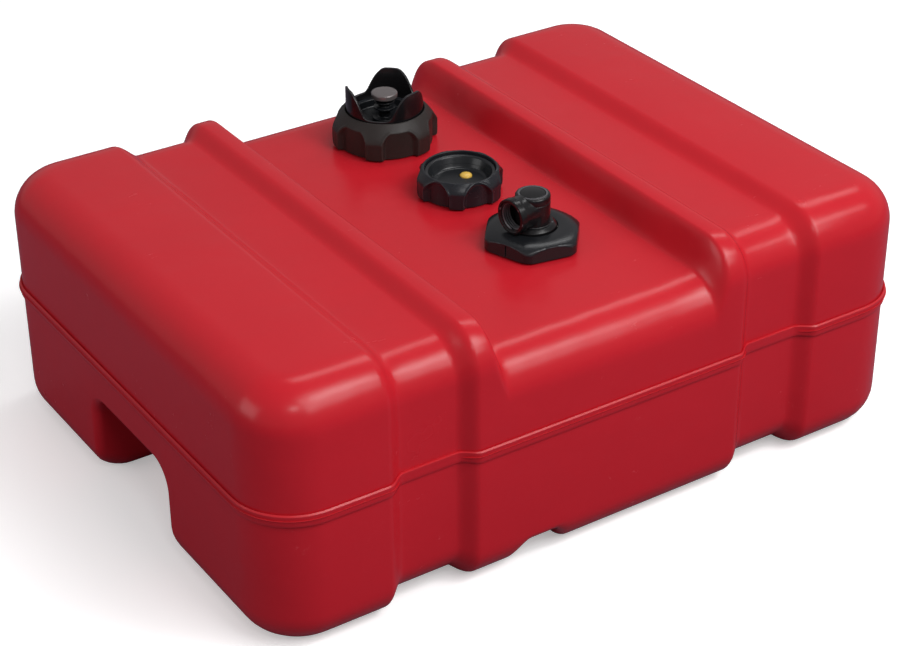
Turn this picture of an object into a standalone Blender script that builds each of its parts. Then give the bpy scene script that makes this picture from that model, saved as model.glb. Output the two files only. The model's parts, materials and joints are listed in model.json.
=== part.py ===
"""Portable outboard fuel tank: a hollow moulded tank with three threaded necks, and on them a vented
filler cap, a float gauge and a pickup fitting. Metres, +Z up, origin under the middle of the tank,
+X along its length. The three fittings stand in a row along Y on the sunken deck."""

import math

import bmesh
import bpy
from mathutils import Matrix, Vector

# Clearances that every piece shares
SEAT_GAP = 0.0003
THREAD_GAP = 0.0005
CUT_OVERRUN = 0.004
JOIN_OVERLAP = 0.0006
DECK_GAP = 0.0015
MERGE_DISTANCE = 0.000001

# Moulded tank
TANK_LENGTH = 0.613
TANK_WIDTH = 0.460
TANK_HEIGHT = 0.225
WALL = 0.005
CORNER_RADIUS = 0.050
TOP_RADIUS = 0.036
BOTTOM_RADIUS = 0.032
SEAM_HEIGHT = 0.121
SEAM_PROUD = 0.0035
SEAM_WIDTH = 0.009
DECK_DROP = 0.030
DECK_STEP_RUN = 0.016
RIB_WIDTH = 0.0175
CHANNEL_FACE_WIDTH = 0.067
CHANNEL_FLOOR_WIDTH = 0.046
CHANNEL_DEPTH = 0.010
CHANNEL_DEPTH_BELOW = 0.008
NOTCH_PLACE = -0.086
NOTCH_FACE_WIDTH = 0.058
NOTCH_FLOOR_WIDTH = 0.022
NOTCH_HEIGHT = 0.023
HAND_HOLD_WIDTH = 0.125
HAND_HOLD_STEP_RUN = 0.014
HAND_HOLD_FOOT_RADIUS = 0.020
HAND_HOLD_ROOF_RADIUS = 0.019
HAND_HOLD_HEIGHT = 0.083
HAND_HOLD_DEPTH = 0.085
HAND_HOLD_EDGE_RADIUS = 0.008
HAND_HOLD_LAND = 0.024

# Places of the three fittings on the deck: the filler from the back wall, the others from the one before
FILLER_BACK_DISTANCE = 0.093
GAUGE_SPACING = 0.119
PICKUP_SPACING = 0.105

# Filler neck and cap
FILLER_BORE_RADIUS = 0.0325
FILLER_NECK_WALL = 0.005
FILLER_NECK_HEIGHT = 0.022
FILLER_PITCH = 0.006
FILLER_THREAD_TURNS = 1.25
FILLER_THREAD_HEIGHT = 0.0022
FILLER_GASKET_THICKNESS = 0.002
FILLER_CAP_GRIP = 0.0061
FILLER_CAP_LEDGE = 0.0046
FILLER_CAP_SHOULDER_HEIGHT = 0.009
FILLER_CAP_SHOULDER_RUN = 0.0095
FILLER_CAP_OPENING_RADIUS = 0.0345
FILLER_FLUTE_DEPTH = 0.0036
INNER_CAP_FLANGE = 0.0025
INNER_CAP_WALL = 0.0025
INNER_CAP_DEPTH = 0.0101
INNER_CAP_FLOOR = 0.003
INNER_CAP_SIDE_GAP = 0.002
CROWN_WALL = 0.0022
CROWN_HEIGHT = 0.0272
CROWN_RING_HEIGHT = 0.0055

# Vent screw and vent valve in the filler cap
VENT_STEM_RADIUS = 0.0029
VENT_BORE_GAP = 0.0004
VENT_FLANGE_RADIUS = 0.011
VENT_FLANGE_THICKNESS = 0.002
VENT_NECK_RADIUS = 0.0052
VENT_NECK_HEIGHT = 0.0176
VENT_KNOB_RADIUS = 0.0115
VENT_KNOB_HEIGHT = 0.0046
O_RING_RADIUS = 0.0052
O_RING_THICKNESS = 0.0014
VALVE_CAGE_RADIUS = 0.009
VALVE_CAGE_HEIGHT = 0.0125
VALVE_CAGE_WALL = 0.0016
VALVE_DISC_THICKNESS = 0.0015
VALVE_DISC_GAP = 0.0006
VALVE_SPRING_WIRE = 0.0008
VALVE_SPRING_TURNS = 3

# Gauge neck, collar and head
GAUGE_BORE_RADIUS = 0.025
GAUGE_NECK_WALL = 0.004
GAUGE_NECK_HEIGHT = 0.0125
GAUGE_PITCH = 0.004
GAUGE_THREAD_TURNS = 1.25
GAUGE_THREAD_HEIGHT = 0.0018
GAUGE_GASKET_THICKNESS = 0.0015
GAUGE_HEAD_FLANGE = 0.0022
GAUGE_HEAD_WALL = 0.002
GAUGE_HEAD_DEPTH = 0.009
GAUGE_HEAD_FLOOR = 0.0025
GAUGE_SLIP_RING_THICKNESS = 0.0008
GAUGE_COLLAR_GRIP = 0.0058
GAUGE_COLLAR_LEDGE = 0.005
GAUGE_COLLAR_SHOULDER_HEIGHT = 0.0085
GAUGE_COLLAR_SHOULDER_RUN = 0.006
GAUGE_COLLAR_OPENING_RADIUS = 0.0272
GAUGE_FLUTE_DEPTH = 0.0032
LENS_RADIUS = 0.0059
LENS_WALL = 0.001
LENS_SEAT_DEPTH = 0.0012
LENS_PLACE_RADIUS = 0.011
LENS_PLACE_ANGLE = 30
DIAL_THICKNESS = 0.0012
DIAL_RADIUS = 0.0172
DIAL_GAP = 0.0012
MARKER_THICKNESS = 0.0008
MARKER_SPAN = 75

# Gauge float and its guides
GUIDE_ROD_RADIUS = 0.0015
GUIDE_ROD_PLACE_RADIUS = 0.0198
GUIDE_ROD_HOLE_GAP = 0.0005
FLOAT_RADIUS = 0.0235
FLOAT_HEIGHT = 0.022
FLOAT_BORE_RADIUS = 0.008
FLOAT_TRAVEL = 0.145
DRIVE_PLATE_RADIUS = 0.0107
DRIVE_PLATE_THICKNESS = 0.0012
DRIVE_SLOT_GAP = 0.0006
SPINDLE_WIDTH = 0.005
SPINDLE_THICKNESS = 0.0012
SPINDLE_PIN_RADIUS = 0.0014
SPINDLE_TURN = 240
FOOT_WIDTH = 0.012
FOOT_THICKNESS = 0.003
FOOT_FLOOR_GAP = 0.0015

# Pickup neck, collar and elbow
PICKUP_BORE_RADIUS = 0.023
PICKUP_NECK_WALL = 0.004
PICKUP_NECK_HEIGHT = 0.008
PICKUP_PITCH = 0.003
PICKUP_THREAD_TURNS = 1.1
PICKUP_THREAD_HEIGHT = 0.0016
PICKUP_GASKET_THICKNESS = 0.0012
ELBOW_FLANGE_THICKNESS = 0.0015
PICKUP_SLIP_RING_THICKNESS = 0.0006
PICKUP_COLLAR_GRIP = 0.0080
PICKUP_COLLAR_LEDGE = 0.003
PICKUP_COLLAR_OPENING_RADIUS = 0.0205
PICKUP_CHAMFER_HEIGHT = 0.0062
BOSS_RADIUS = 0.0195
BOSS_HEIGHT = 0.0075
BOSS_STEP_RADIUS = 0.0168
BOSS_STEP_HEIGHT = 0.0022
UPRIGHT_RADIUS = 0.0143
UPRIGHT_BORE_RADIUS = 0.0072
ELBOW_STEM_RADIUS = 0.0095
ELBOW_STEM_LENGTH = 0.016
PORT_HEIGHT = 0.0305
PORT_REACH = 0.0245
PORT_RADIUS = 0.0132
PORT_RIM_RADIUS = 0.0145
PORT_RIM_LENGTH = 0.006
PORT_BORE_RADIUS = 0.0110
PORT_BORE_DEPTH = 0.013
PORT_PASSAGE_RADIUS = 0.006
PORT_THREAD_PITCH = 0.0022
PORT_THREAD_TURNS = 4
PORT_THREAD_HEIGHT = 0.0009
PORT_ANGLE = -172
UPRIGHT_HEIGHT = 0.0442
UPRIGHT_EDGE_RADIUS = 0.002
TOP_CAP_RADIUS = 0.0104
TOP_CAP_SEAT_DEPTH = 0.003
TOP_CAP_PROUD = 0.0007
TOP_CAP_PLUG_LENGTH = 0.003
VALVE_SEAT_THICKNESS = 0.004
VALVE_SEAT_BORE_RADIUS = 0.0036
CHECK_BALL_RADIUS = 0.0048
CHECK_SPRING_RADIUS = 0.0038
CHECK_SPRING_WIRE = 0.0008
CHECK_SPRING_TURNS = 5
PICKUP_TUBE_RADIUS = 0.005
PICKUP_TUBE_BORE_RADIUS = 0.0036
PICKUP_TUBE_INSERT = 0.012
SCREEN_RADIUS = 0.0085
SCREEN_HEIGHT = 0.026
SCREEN_WALL = 0.0015
SCREEN_FLOOR_GAP = 0.002

# Which way the grips, petals and corners face, in degrees from +X
FILLER_FLUTE_TURN = 16
GAUGE_FLUTE_TURN = 22
CROWN_TURN = 47
PICKUP_HEX_TURN = -10

# Numbers of steps round and along the shapes
TANK_EDGE_STEPS = 3
CAVITY_EDGE_STEPS = 2
FLUTES = 6
TURNED_STEPS = 32
RING_STEPS = 24
SMALL_STEPS = 16
ROD_STEPS = 12
THREAD_STEPS = 20
PORT_THREAD_STEPS = 12
COIL_STEPS = 8
COIL_SIDES = 5
MARKER_STEPS = 6
HEX_STEPS = 36
SPINDLE_STEP_DEGREES = 10

# Shares of a cap's grip pattern, of one sixth of a turn
FLUTE_WIDTH_SHARE = 0.61
FLUTE_FLANK_SHARE = 0.06
FLUTE_ARCH_SHARES = (1.0, 0.93, 0.62)

# Shares of a thread's pitch
THREAD_ROOT_SHARE = 0.44
THREAD_CREST_SHARE = 0.24
THREAD_LEAD_SHARE = 0.45

# Outlines given as shares of their own size: degrees from the middle of a petal with its rise there,
# the steps of the collar's bevel, the rows of the seam ridge and how square its top is
PETAL_SHARES = ((-60, 0.0), (-50, 0.0), (-40, 0.03), (-35, 0.28), (-26, 0.68), (-18, 0.9), (-12, 1.0))
BEVEL_SHARES = (0.35, 0.7, 1.0)
SEAM_ROW_SHARES = (-0.45, 0.45)
SEAM_ROUND_SHARE = 0.7
DOME_SHARE = 0.8
PORT_BEVEL_SHARE = 0.4
PIVOT_SHARE = 1.5
FITTING_LINE_SHARE = 0.43393

# Places that follow from the sizes above. The deck takes what the ends leave of the length, and the line
# of fittings divides what the filler cap leaves free of it.
DECK_HEIGHT = TANK_HEIGHT - DECK_DROP
HALF_LENGTH = TANK_LENGTH / 2
HALF_WIDTH = TANK_WIDTH / 2
CHANNEL_CENTRE = HALF_LENGTH - HAND_HOLD_DEPTH - HAND_HOLD_LAND - CHANNEL_FACE_WIDTH / 2
DECK_HALF_LENGTH = CHANNEL_CENTRE - CHANNEL_FACE_WIDTH / 2 - RIB_WIDTH - DECK_STEP_RUN
FILLER_NECK_RADIUS = FILLER_BORE_RADIUS + FILLER_NECK_WALL
FILLER_CAP_INNER_RADIUS = FILLER_NECK_RADIUS + FILLER_THREAD_HEIGHT + THREAD_GAP
FILLER_CAP_RADIUS = FILLER_CAP_INNER_RADIUS + FILLER_CAP_GRIP
FITTING_LINE = (DECK_HALF_LENGTH - FILLER_CAP_RADIUS) * FITTING_LINE_SHARE
NOTCH_CENTRE = FITTING_LINE + NOTCH_PLACE
FILLER_PLACE = HALF_WIDTH - FILLER_BACK_DISTANCE
GAUGE_PLACE = FILLER_PLACE - GAUGE_SPACING
PICKUP_PLACE = GAUGE_PLACE - PICKUP_SPACING

# Colours from the photograph
RED = (0.47, 0.016, 0.028, 1)
WARM_BLACK = (0.030, 0.024, 0.021, 1)
BLACK = (0.012, 0.012, 0.014, 1)
KNOB_GREY = (0.055, 0.055, 0.06, 1)
RUBBER = (0.02, 0.02, 0.02, 1)
YELLOW = (0.75, 0.42, 0.02, 1)
AMBER = (0.55, 0.38, 0.16, 1)
WHITE = (0.72, 0.72, 0.68, 1)
STEEL = (0.55, 0.55, 0.56, 1)
BRASS = (0.60, 0.45, 0.20, 1)
TAN = (0.50, 0.40, 0.26, 1)


def clear_scene():
    for obj in list(bpy.data.objects):
        bpy.data.objects.remove(obj, do_unlink=True)


def material(name, colour, roughness, metallic=0.0):
    made = bpy.data.materials.new(name)
    made.use_nodes = True
    shader = made.node_tree.nodes["Principled BSDF"]
    shader.inputs["Base Color"].default_value = colour
    shader.inputs["Roughness"].default_value = roughness
    shader.inputs["Metallic"].default_value = metallic
    made.diffuse_color = colour
    return made


def make(name, bm, colour, roughness=0.45, metallic=0.0, parent=None, place=(0, 0, 0), smooth=35):
    """An object from a bmesh, with its own material, smooth apart from edges sharper than the angle."""
    bmesh.ops.remove_doubles(bm, verts=bm.verts, dist=MERGE_DISTANCE)
    bmesh.ops.recalc_face_normals(bm, faces=bm.faces)
    mesh = bpy.data.meshes.new(name)
    bm.to_mesh(mesh)
    bm.free()
    mesh.shade_smooth()
    mesh.set_sharp_from_angle(angle=math.radians(smooth))
    mesh.materials.append(material(name, colour, roughness, metallic))
    obj = bpy.data.objects.new(name, mesh)
    bpy.context.collection.objects.link(obj)
    obj.parent = parent
    obj.location = place
    return obj


def empty(name, place):
    obj = bpy.data.objects.new(name, None)
    bpy.context.collection.objects.link(obj)
    obj.location = place
    return obj


def helper(name, bm, parent=None, place=(0, 0, 0)):
    """A hidden solid that joins or cuts another one."""
    obj = make(name, bm, BLACK, parent=parent, place=place)
    obj.hide_render = True
    obj.display_type = "WIRE"
    return obj


def boolean(obj, other, operation):
    step = obj.modifiers.new(f"{operation.lower()}_{other.name}", "BOOLEAN")
    step.operation = operation
    step.object = other
    step.solver = "EXACT"


def skin(rings, around=True, wrap=False):
    """A bmesh of quads between successive rings of points. The rings close on themselves if around is set,
    the last ring meets the first if wrap is set, and otherwise the first and last ring are filled."""
    bm = bmesh.new()
    rows = [[bm.verts.new(point) for point in ring] for ring in rings]
    count = len(rows[0])
    steps = len(rows) if wrap else len(rows) - 1
    for i in range(steps):
        low = rows[i]
        high = rows[(i + 1) % len(rows)]
        for j in range(count if around else count - 1):
            k = (j + 1) % count
            bm.faces.new((low[j], low[k], high[k], high[j]))
    if not wrap:
        bm.faces.new(list(reversed(rows[0])))
        bm.faces.new(rows[-1])
    return bm


def turned(profile, steps=RING_STEPS):
    """A closed outline of (radius, height) points spun round the Z axis."""
    bm = bmesh.new()
    points = [bm.verts.new((radius, 0, height)) for radius, height in profile]
    edges = [bm.edges.new((points[i], points[(i + 1) % len(points)])) for i in range(len(points))]
    turn = {"cent": (0, 0, 0), "axis": (0, 0, 1), "angle": math.tau, "steps": steps}
    bmesh.ops.spin(bm, geom=points + edges, use_merge=True, **turn)
    bmesh.ops.remove_doubles(bm, verts=bm.verts, dist=MERGE_DISTANCE)
    flat = [face for face in bm.faces if face.calc_area() < MERGE_DISTANCE**2]
    bmesh.ops.delete(bm, geom=flat, context="FACES")
    loose = [edge for edge in bm.edges if not edge.link_faces]
    bmesh.ops.delete(bm, geom=loose, context="EDGES")
    return bm


def ring_outline(inner, outer, low, high):
    return [(inner, low), (outer, low), (outer, high), (inner, high)]


def arc(centre, radius_r, radius_z, start, end, steps):
    """Points (radius, height) along part of an ellipse, from angle start to end in degrees."""
    angles = [math.radians(start + (end - start) * i / steps) for i in range(steps + 1)]
    return [(centre[0] + radius_r * math.cos(a), centre[1] + radius_z * math.sin(a)) for a in angles]


def cylinder_cutter(radius, low, high, steps=TURNED_STEPS):
    bm = bmesh.new()
    size = {"radius1": radius, "radius2": radius, "depth": high - low}
    bmesh.ops.create_cone(bm, cap_ends=True, segments=steps, **size)
    bmesh.ops.translate(bm, verts=bm.verts, vec=(0, 0, (high + low) / 2))
    return bm


def box_cutter(size, place=(0, 0, 0)):
    bm = bmesh.new()
    bmesh.ops.create_cube(bm, size=1)
    bmesh.ops.scale(bm, vec=size, verts=bm.verts)
    bmesh.ops.translate(bm, verts=bm.verts, vec=place)
    return bm


def thread(root, crest, middle, pitch, turns, steps):
    """A helical ridge from the root radius to the crest radius, centred on the height middle. It fills
    less than half of the pitch, so that a mating ridge half a pitch away stays clear of it."""
    root_half = pitch * THREAD_ROOT_SHARE / 2
    crest_half = pitch * THREAD_CREST_SHARE / 2
    count = math.ceil(turns * steps)
    rings = []
    for i in range(count + 1):
        angle = math.tau * turns * i / count
        height = middle + pitch * turns * (i / count - 0.5)
        across = Vector((math.cos(angle), math.sin(angle), 0))
        up = Vector((0, 0, 1))
        corners = [(root, -root_half), (crest, -crest_half), (crest, crest_half), (root, root_half)]
        rings.append([across * radius + up * (height + offset) for radius, offset in corners])
    return skin(rings)


def coil(radius, wire, low, high, turns):
    """A compression spring as one tube of the wire's diameter, its ends level with low and high."""
    travel = high - low - wire
    count = turns * COIL_STEPS
    rings = []
    for i in range(count + 1):
        angle = math.tau * turns * i / count
        out = Vector((math.cos(angle), math.sin(angle), 0))
        centre = out * radius + Vector((0, 0, low + wire / 2 + travel * i / count))
        ring = []
        for j in range(COIL_SIDES):
            turn = math.tau * j / COIL_SIDES
            lift = Vector((0, 0, wire / 2 * math.sin(turn)))
            ring.append(centre + out * wire / 2 * math.cos(turn) + lift)
        rings.append(ring)
    return skin(rings)


def ease(value):
    """A smooth step from 0 to 1."""
    value = min(1.0, max(0.0, value))
    return (1 - math.cos(math.pi * value)) / 2


class Moulding:
    """The tank's outer surface, or with grow set to the wall its cavity. Both come from the same sizes:
    every hollow in the outside is wider and deeper by grow inside, and every wall lies grow further in."""

    def __init__(self, grow, edge_steps, step_points, seam):
        self.grow = grow
        self.edge_steps = edge_steps
        self.step_points = step_points
        self.seam = seam
        self.half_length = HALF_LENGTH - grow
        self.half_width = HALF_WIDTH - grow
        self.height = TANK_HEIGHT - grow
        self.corner = CORNER_RADIUS - grow
        self.top_radius = TOP_RADIUS - grow
        self.bottom_radius = BOTTOM_RADIUS - grow

    def channel(self, x):
        away = abs(abs(x) - CHANNEL_CENTRE) - self.grow
        face = CHANNEL_FACE_WIDTH / 2
        floor = CHANNEL_FLOOR_WIDTH / 2
        return ease((face - away) / (face - floor))

    def deck(self, x):
        away = abs(x) - self.grow - DECK_HALF_LENGTH
        return ease(1 - away / DECK_STEP_RUN)

    def notch(self, x):
        away = abs(x - NOTCH_CENTRE) - self.grow
        face = NOTCH_FACE_WIDTH / 2
        floor = NOTCH_FLOOR_WIDTH / 2
        return ease((face - away) / (face - floor))

    def hand_hold(self, x, y):
        """Height of the hand hold's roof over the feet: an arched opening with rounded feet."""
        along = abs(x) - (HALF_LENGTH - HAND_HOLD_DEPTH - self.grow)
        outside = abs(y) - HAND_HOLD_WIDTH / 2 - self.grow
        foot = HAND_HOLD_FOOT_RADIUS - self.grow
        roof = HAND_HOLD_ROOF_RADIUS + self.grow
        if outside >= foot:
            height = 0.0
        elif outside > 0:
            height = foot - math.sqrt(foot**2 - (foot - outside) ** 2)
        elif outside > -roof:
            height = HAND_HOLD_HEIGHT - roof + math.sqrt(roof**2 - (roof + outside) ** 2)
        else:
            height = HAND_HOLD_HEIGHT
        return height * ease(along / HAND_HOLD_STEP_RUN + 1)

    def steps_between(self, start, end):
        """Stations that follow one smooth step in the surface."""
        count = self.step_points
        return [start + (end - start) * i / count for i in range(count + 1)]

    def stations_along(self):
        """X places in the middle stretch, between the rounded corners."""
        end = self.half_length - self.corner
        hold = HALF_LENGTH - HAND_HOLD_DEPTH - self.grow
        face = CHANNEL_FACE_WIDTH / 2 + self.grow
        floor = CHANNEL_FLOOR_WIDTH / 2 + self.grow
        deck = DECK_HALF_LENGTH + self.grow
        side = [end] + self.steps_between(hold, hold - HAND_HOLD_STEP_RUN)[:: self.step_points]
        side += self.steps_between(CHANNEL_CENTRE + face, CHANNEL_CENTRE + floor)
        side += self.steps_between(CHANNEL_CENTRE - floor, CHANNEL_CENTRE - face)
        side += self.steps_between(deck + DECK_STEP_RUN, deck)
        notch_face = NOTCH_FACE_WIDTH / 2 + self.grow
        notch_floor = NOTCH_FLOOR_WIDTH / 2 + self.grow
        notch = self.steps_between(NOTCH_CENTRE - notch_face, NOTCH_CENTRE - notch_floor)
        notch += self.steps_between(NOTCH_CENTRE + notch_floor, NOTCH_CENTRE + notch_face)
        return sorted([-x for x in side] + notch + side)

    def stations_across(self):
        end = self.half_width - self.corner
        hold = HAND_HOLD_WIDTH / 2 + self.grow
        foot = HAND_HOLD_FOOT_RADIUS - self.grow
        roof = HAND_HOLD_ROOF_RADIUS + self.grow
        turns = [math.pi / 2 * i / 2 for i in range(3)]
        side = [end]
        side += [hold + SEAT_GAP / 2 + foot * (1 - math.sin(turn)) for turn in turns]
        side += [hold - SEAT_GAP / 2 - roof * (1 - math.cos(turn)) for turn in turns]
        return [-y for y in side] + side[::-1]

    def plan(self, i, j, inset):
        """X and Y of a grid point whose ring lies inset from the wall. Corner blocks follow arcs."""
        m = self.edge_steps + 1
        last_i = len(self.xs) - 1 + 2 * m
        last_j = len(self.ys) - 1 + 2 * m
        from_end = min(i, last_i - i)
        from_side = min(j, last_j - j)
        sign_x = -1 if i < last_i / 2 else 1
        sign_y = -1 if j < last_j / 2 else 1
        corner_x = self.half_length - self.corner
        corner_y = self.half_width - self.corner
        if from_end < m and from_side < m:
            ring = min(from_end, from_side)
            along = (m - from_side) if from_end == ring else (m - ring) + (from_end - ring)
            angle = math.pi / 2 * along / (2 * (m - ring))
            radius = self.corner - inset
            x = corner_x + radius * math.cos(angle)
            y = corner_y + radius * math.sin(angle)
            return sign_x * x, sign_y * y
        if from_end < m:
            return sign_x * (self.half_length - inset), self.ys[j - m]
        if from_side < m:
            return self.xs[i - m], sign_y * (self.half_width - inset)
        return self.xs[i - m], self.ys[j - m]

    def ring_shift(self, i, j, channel_inset):
        """How far a channel moves a point of the long walls towards the middle."""
        m = self.edge_steps + 1
        last_i = len(self.xs) - 1 + 2 * m
        if min(i, last_i - i) < m:
            return 0.0
        return channel_inset

    def top_point(self, i, j, ring):
        m = self.edge_steps + 1
        angle = math.pi / 2 * min(ring, self.edge_steps) / self.edge_steps
        inset = self.top_radius * (1 - math.cos(angle)) if ring < m else self.corner
        x, y = self.plan(i, j, inset)
        depth = CHANNEL_DEPTH * self.channel(x)
        side = 1 if y > 0 else -1
        y -= side * self.ring_shift(i, j, depth) * math.cos(angle)
        top = self.height - DECK_DROP * self.deck(x)
        z = top - self.top_radius + (self.top_radius - depth) * math.sin(angle)
        return Vector((x, y, z))

    def bottom_radius_at(self, x, y):
        hold = self.hand_hold(x, y) / HAND_HOLD_HEIGHT
        small = HAND_HOLD_EDGE_RADIUS - self.grow / 2
        return self.bottom_radius + (small - self.bottom_radius) * max(hold, self.notch(x))

    def bottom_height_at(self, x, y):
        return max(self.hand_hold(x, y), NOTCH_HEIGHT * self.notch(x)) + self.grow

    def bottom_point(self, i, j, ring):
        m = self.edge_steps + 1
        angle = math.pi / 2 * min(ring, self.edge_steps) / self.edge_steps
        x, y = self.plan(i, j, 0)
        radius = self.bottom_radius_at(x, y)
        inset = radius * (1 - math.cos(angle)) if ring < m else self.corner
        x, y = self.plan(i, j, inset)
        share = self.channel(x)
        depth = (CHANNEL_DEPTH + (CHANNEL_DEPTH_BELOW - CHANNEL_DEPTH) * math.sin(angle)) * share
        side = 1 if y > 0 else -1
        y -= side * self.ring_shift(i, j, depth) * math.cos(angle)
        z = self.bottom_height_at(x, y) + radius - (radius - depth) * math.sin(angle)
        return Vector((x, y, z))

    def side_point(self, i, j, row):
        x, y = self.plan(i, j, 0)
        shift = CHANNEL_DEPTH * self.channel(x)
        inward = self.ring_shift(i, j, shift)
        side = 1 if y > 0 else -1
        low = self.bottom_height_at(x, y) + self.bottom_radius_at(x, y)
        high = self.height - DECK_DROP * self.deck(x) - self.top_radius
        seam = SEAM_HEIGHT
        kind, share = row
        if kind == "below":
            return Vector((x, y - side * inward, low + (seam - SEAM_WIDTH / 2 - low) * share))
        if kind == "above":
            start = seam + SEAM_WIDTH / 2
            return Vector((x, y - side * inward, start + (high - start) * share))
        proud = SEAM_PROUD * math.cos(math.pi / 2 * share) ** SEAM_ROUND_SHARE
        px, py = self.plan(i, j, -proud)
        return Vector((px, py - side * inward, seam + SEAM_WIDTH / 2 * share))

    def solid(self):
        """The whole closed surface: side rows, and a top and a bottom made of rings and a middle grid."""
        self.xs = self.stations_along()
        self.ys = self.stations_across()
        m = self.edge_steps + 1
        last_i = len(self.xs) - 1 + 2 * m
        last_j = len(self.ys) - 1 + 2 * m
        bm = bmesh.new()

        def sheet(point_of):
            grid = {}
            for i in range(last_i + 1):
                for j in range(last_j + 1):
                    ring = min(i, last_i - i, j, last_j - j, m)
                    grid[i, j] = bm.verts.new(point_of(i, j, ring))
            for i in range(last_i):
                for j in range(last_j):
                    quad = (grid[i, j], grid[i + 1, j], grid[i + 1, j + 1], grid[i, j + 1])
                    bm.faces.new(quad)

        sheet(self.top_point)
        sheet(self.bottom_point)
        rim = [(i, 0) for i in range(last_i)]
        rim += [(last_i, j) for j in range(last_j)]
        rim += [(i, last_j) for i in range(last_i, 0, -1)]
        rim += [(0, j) for j in range(last_j, 0, -1)]
        rows = [("below", 0), ("below", 0.5), ("below", 1)]
        if self.seam:
            rows += [("seam", share) for share in SEAM_ROW_SHARES]
        rows += [("above", 0), ("above", 1)]
        lines = [[bm.verts.new(self.side_point(i, j, row)) for i, j in rim] for row in rows]
        for low, high in zip(lines, lines[1:]):
            for a in range(len(rim)):
                b = (a + 1) % len(rim)
                bm.faces.new((low[a], low[b], high[b], high[a]))
        bmesh.ops.remove_doubles(bm, verts=bm.verts, dist=MERGE_DISTANCE)
        return bm


def neck(name, place, bore, wall, height, pitch, turns, thread_height):
    """Solids that add a threaded neck to the tank: a plain neck, its thread, and the cutter of its bore."""
    axis = empty(f"{name}_axis", (FITTING_LINE, place, DECK_HEIGHT))
    outer = bore + wall
    blank = cylinder_cutter(outer, -WALL / 2, height)
    plain = helper(f"{name}_neck_blank", blank, axis)
    middle = height - pitch * (turns / 2 + THREAD_LEAD_SHARE)
    ridge = thread(outer - JOIN_OVERLAP, outer + thread_height, middle, pitch, turns, THREAD_STEPS)
    ridge_helper = helper(f"{name}_neck_thread", ridge, axis)
    cutter = cylinder_cutter(bore, -WALL - CUT_OVERRUN, height + CUT_OVERRUN)
    bore_helper = helper(f"{name}_neck_bore", cutter, axis)
    return axis, plain, ridge_helper, bore_helper, middle


def tank():
    """The hollow tank with its three threaded necks."""
    shell = make("tank_shell", Moulding(0.0, TANK_EDGE_STEPS, 3, True).solid(), RED, 0.42)
    cavity = helper("tank_cavity", Moulding(WALL, CAVITY_EDGE_STEPS, 2, False).solid())
    necks = {}
    rows = (
        ("filler", FILLER_PLACE, FILLER_BORE_RADIUS, FILLER_NECK_WALL, FILLER_NECK_HEIGHT)
        + (FILLER_PITCH, FILLER_THREAD_TURNS, FILLER_THREAD_HEIGHT),
        ("gauge", GAUGE_PLACE, GAUGE_BORE_RADIUS, GAUGE_NECK_WALL, GAUGE_NECK_HEIGHT)
        + (GAUGE_PITCH, GAUGE_THREAD_TURNS, GAUGE_THREAD_HEIGHT),
        ("pickup", PICKUP_PLACE, PICKUP_BORE_RADIUS, PICKUP_NECK_WALL, PICKUP_NECK_HEIGHT)
        + (PICKUP_PITCH, PICKUP_THREAD_TURNS, PICKUP_THREAD_HEIGHT),
    )
    boolean(shell, cavity, "DIFFERENCE")
    for row in rows:
        necks[row[0]] = neck(*row)
        boolean(shell, necks[row[0]][1], "UNION")
        boolean(shell, necks[row[0]][2], "UNION")
        boolean(shell, necks[row[0]][3], "DIFFERENCE")
    return necks


def fluted_ring(turn_by, radius, height, flute_radius=None, arch=1.0):
    """One level of a grip ring: six lobes at radius, with flat-bottomed flutes between them. The middle
    of the first flute lies turn_by degrees from +X."""
    sector = math.tau / FLUTES
    half = sector * FLUTE_WIDTH_SHARE / 2 * arch
    flank = sector * FLUTE_FLANK_SHARE
    low = radius if flute_radius is None else min(radius, flute_radius)
    floor = half - flank * arch
    marks = [(-half, radius), (-floor, low), (-floor / 2, low), (0, low), (floor / 2, low)]
    marks += [(floor, low), (half, radius), (sector / 2, radius)]
    ring = []
    for i in range(FLUTES):
        for angle, reach in marks:
            turn = angle + sector * i + math.radians(turn_by)
            ring.append(Vector((reach * math.cos(turn), reach * math.sin(turn), height)))
    return ring


def grip_cap(turn_by, outer, flute_depth, top, shoulder_height, shoulder_run, opening, ledge, inner):
    """A threaded grip ring: fluted skirt, domed shoulder, flat rim and the ledge over the stack."""
    flute = outer - flute_depth
    bottom = DECK_GAP
    shoulder = top - shoulder_height
    rings = []
    arch_start = shoulder - shoulder_height / 2
    rings.append(fluted_ring(turn_by, outer, bottom, flute))
    rings.append(fluted_ring(turn_by, outer, arch_start, flute, FLUTE_ARCH_SHARES[0]))
    rings.append(fluted_ring(turn_by, outer, (arch_start + shoulder) / 2, flute, FLUTE_ARCH_SHARES[1]))
    for i, arch in enumerate((FLUTE_ARCH_SHARES[2], FLUTE_ARCH_SHARES[2], 1.0, 1.0)):
        angle = math.pi / 2 * i / 3
        radius = outer - shoulder_run * (1 - math.cos(angle))
        height = shoulder + shoulder_height * math.sin(angle)
        rings.append(fluted_ring(turn_by, radius, height, flute if i < 1 else None, arch))
    rings.append(fluted_ring(turn_by, opening, top))
    rings.append(fluted_ring(turn_by, opening, top - ledge))
    rings.append(fluted_ring(turn_by, inner, top - ledge))
    rings.append(fluted_ring(turn_by, inner, bottom))
    return skin(rings, wrap=True)


def filler_stack():
    """Heights above the deck of the pieces stacked on the filler neck."""
    gasket = FILLER_NECK_HEIGHT + SEAT_GAP
    flange = gasket + FILLER_GASKET_THICKNESS + SEAT_GAP
    ledge = flange + INNER_CAP_FLANGE + SEAT_GAP
    return gasket, flange, ledge


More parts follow.
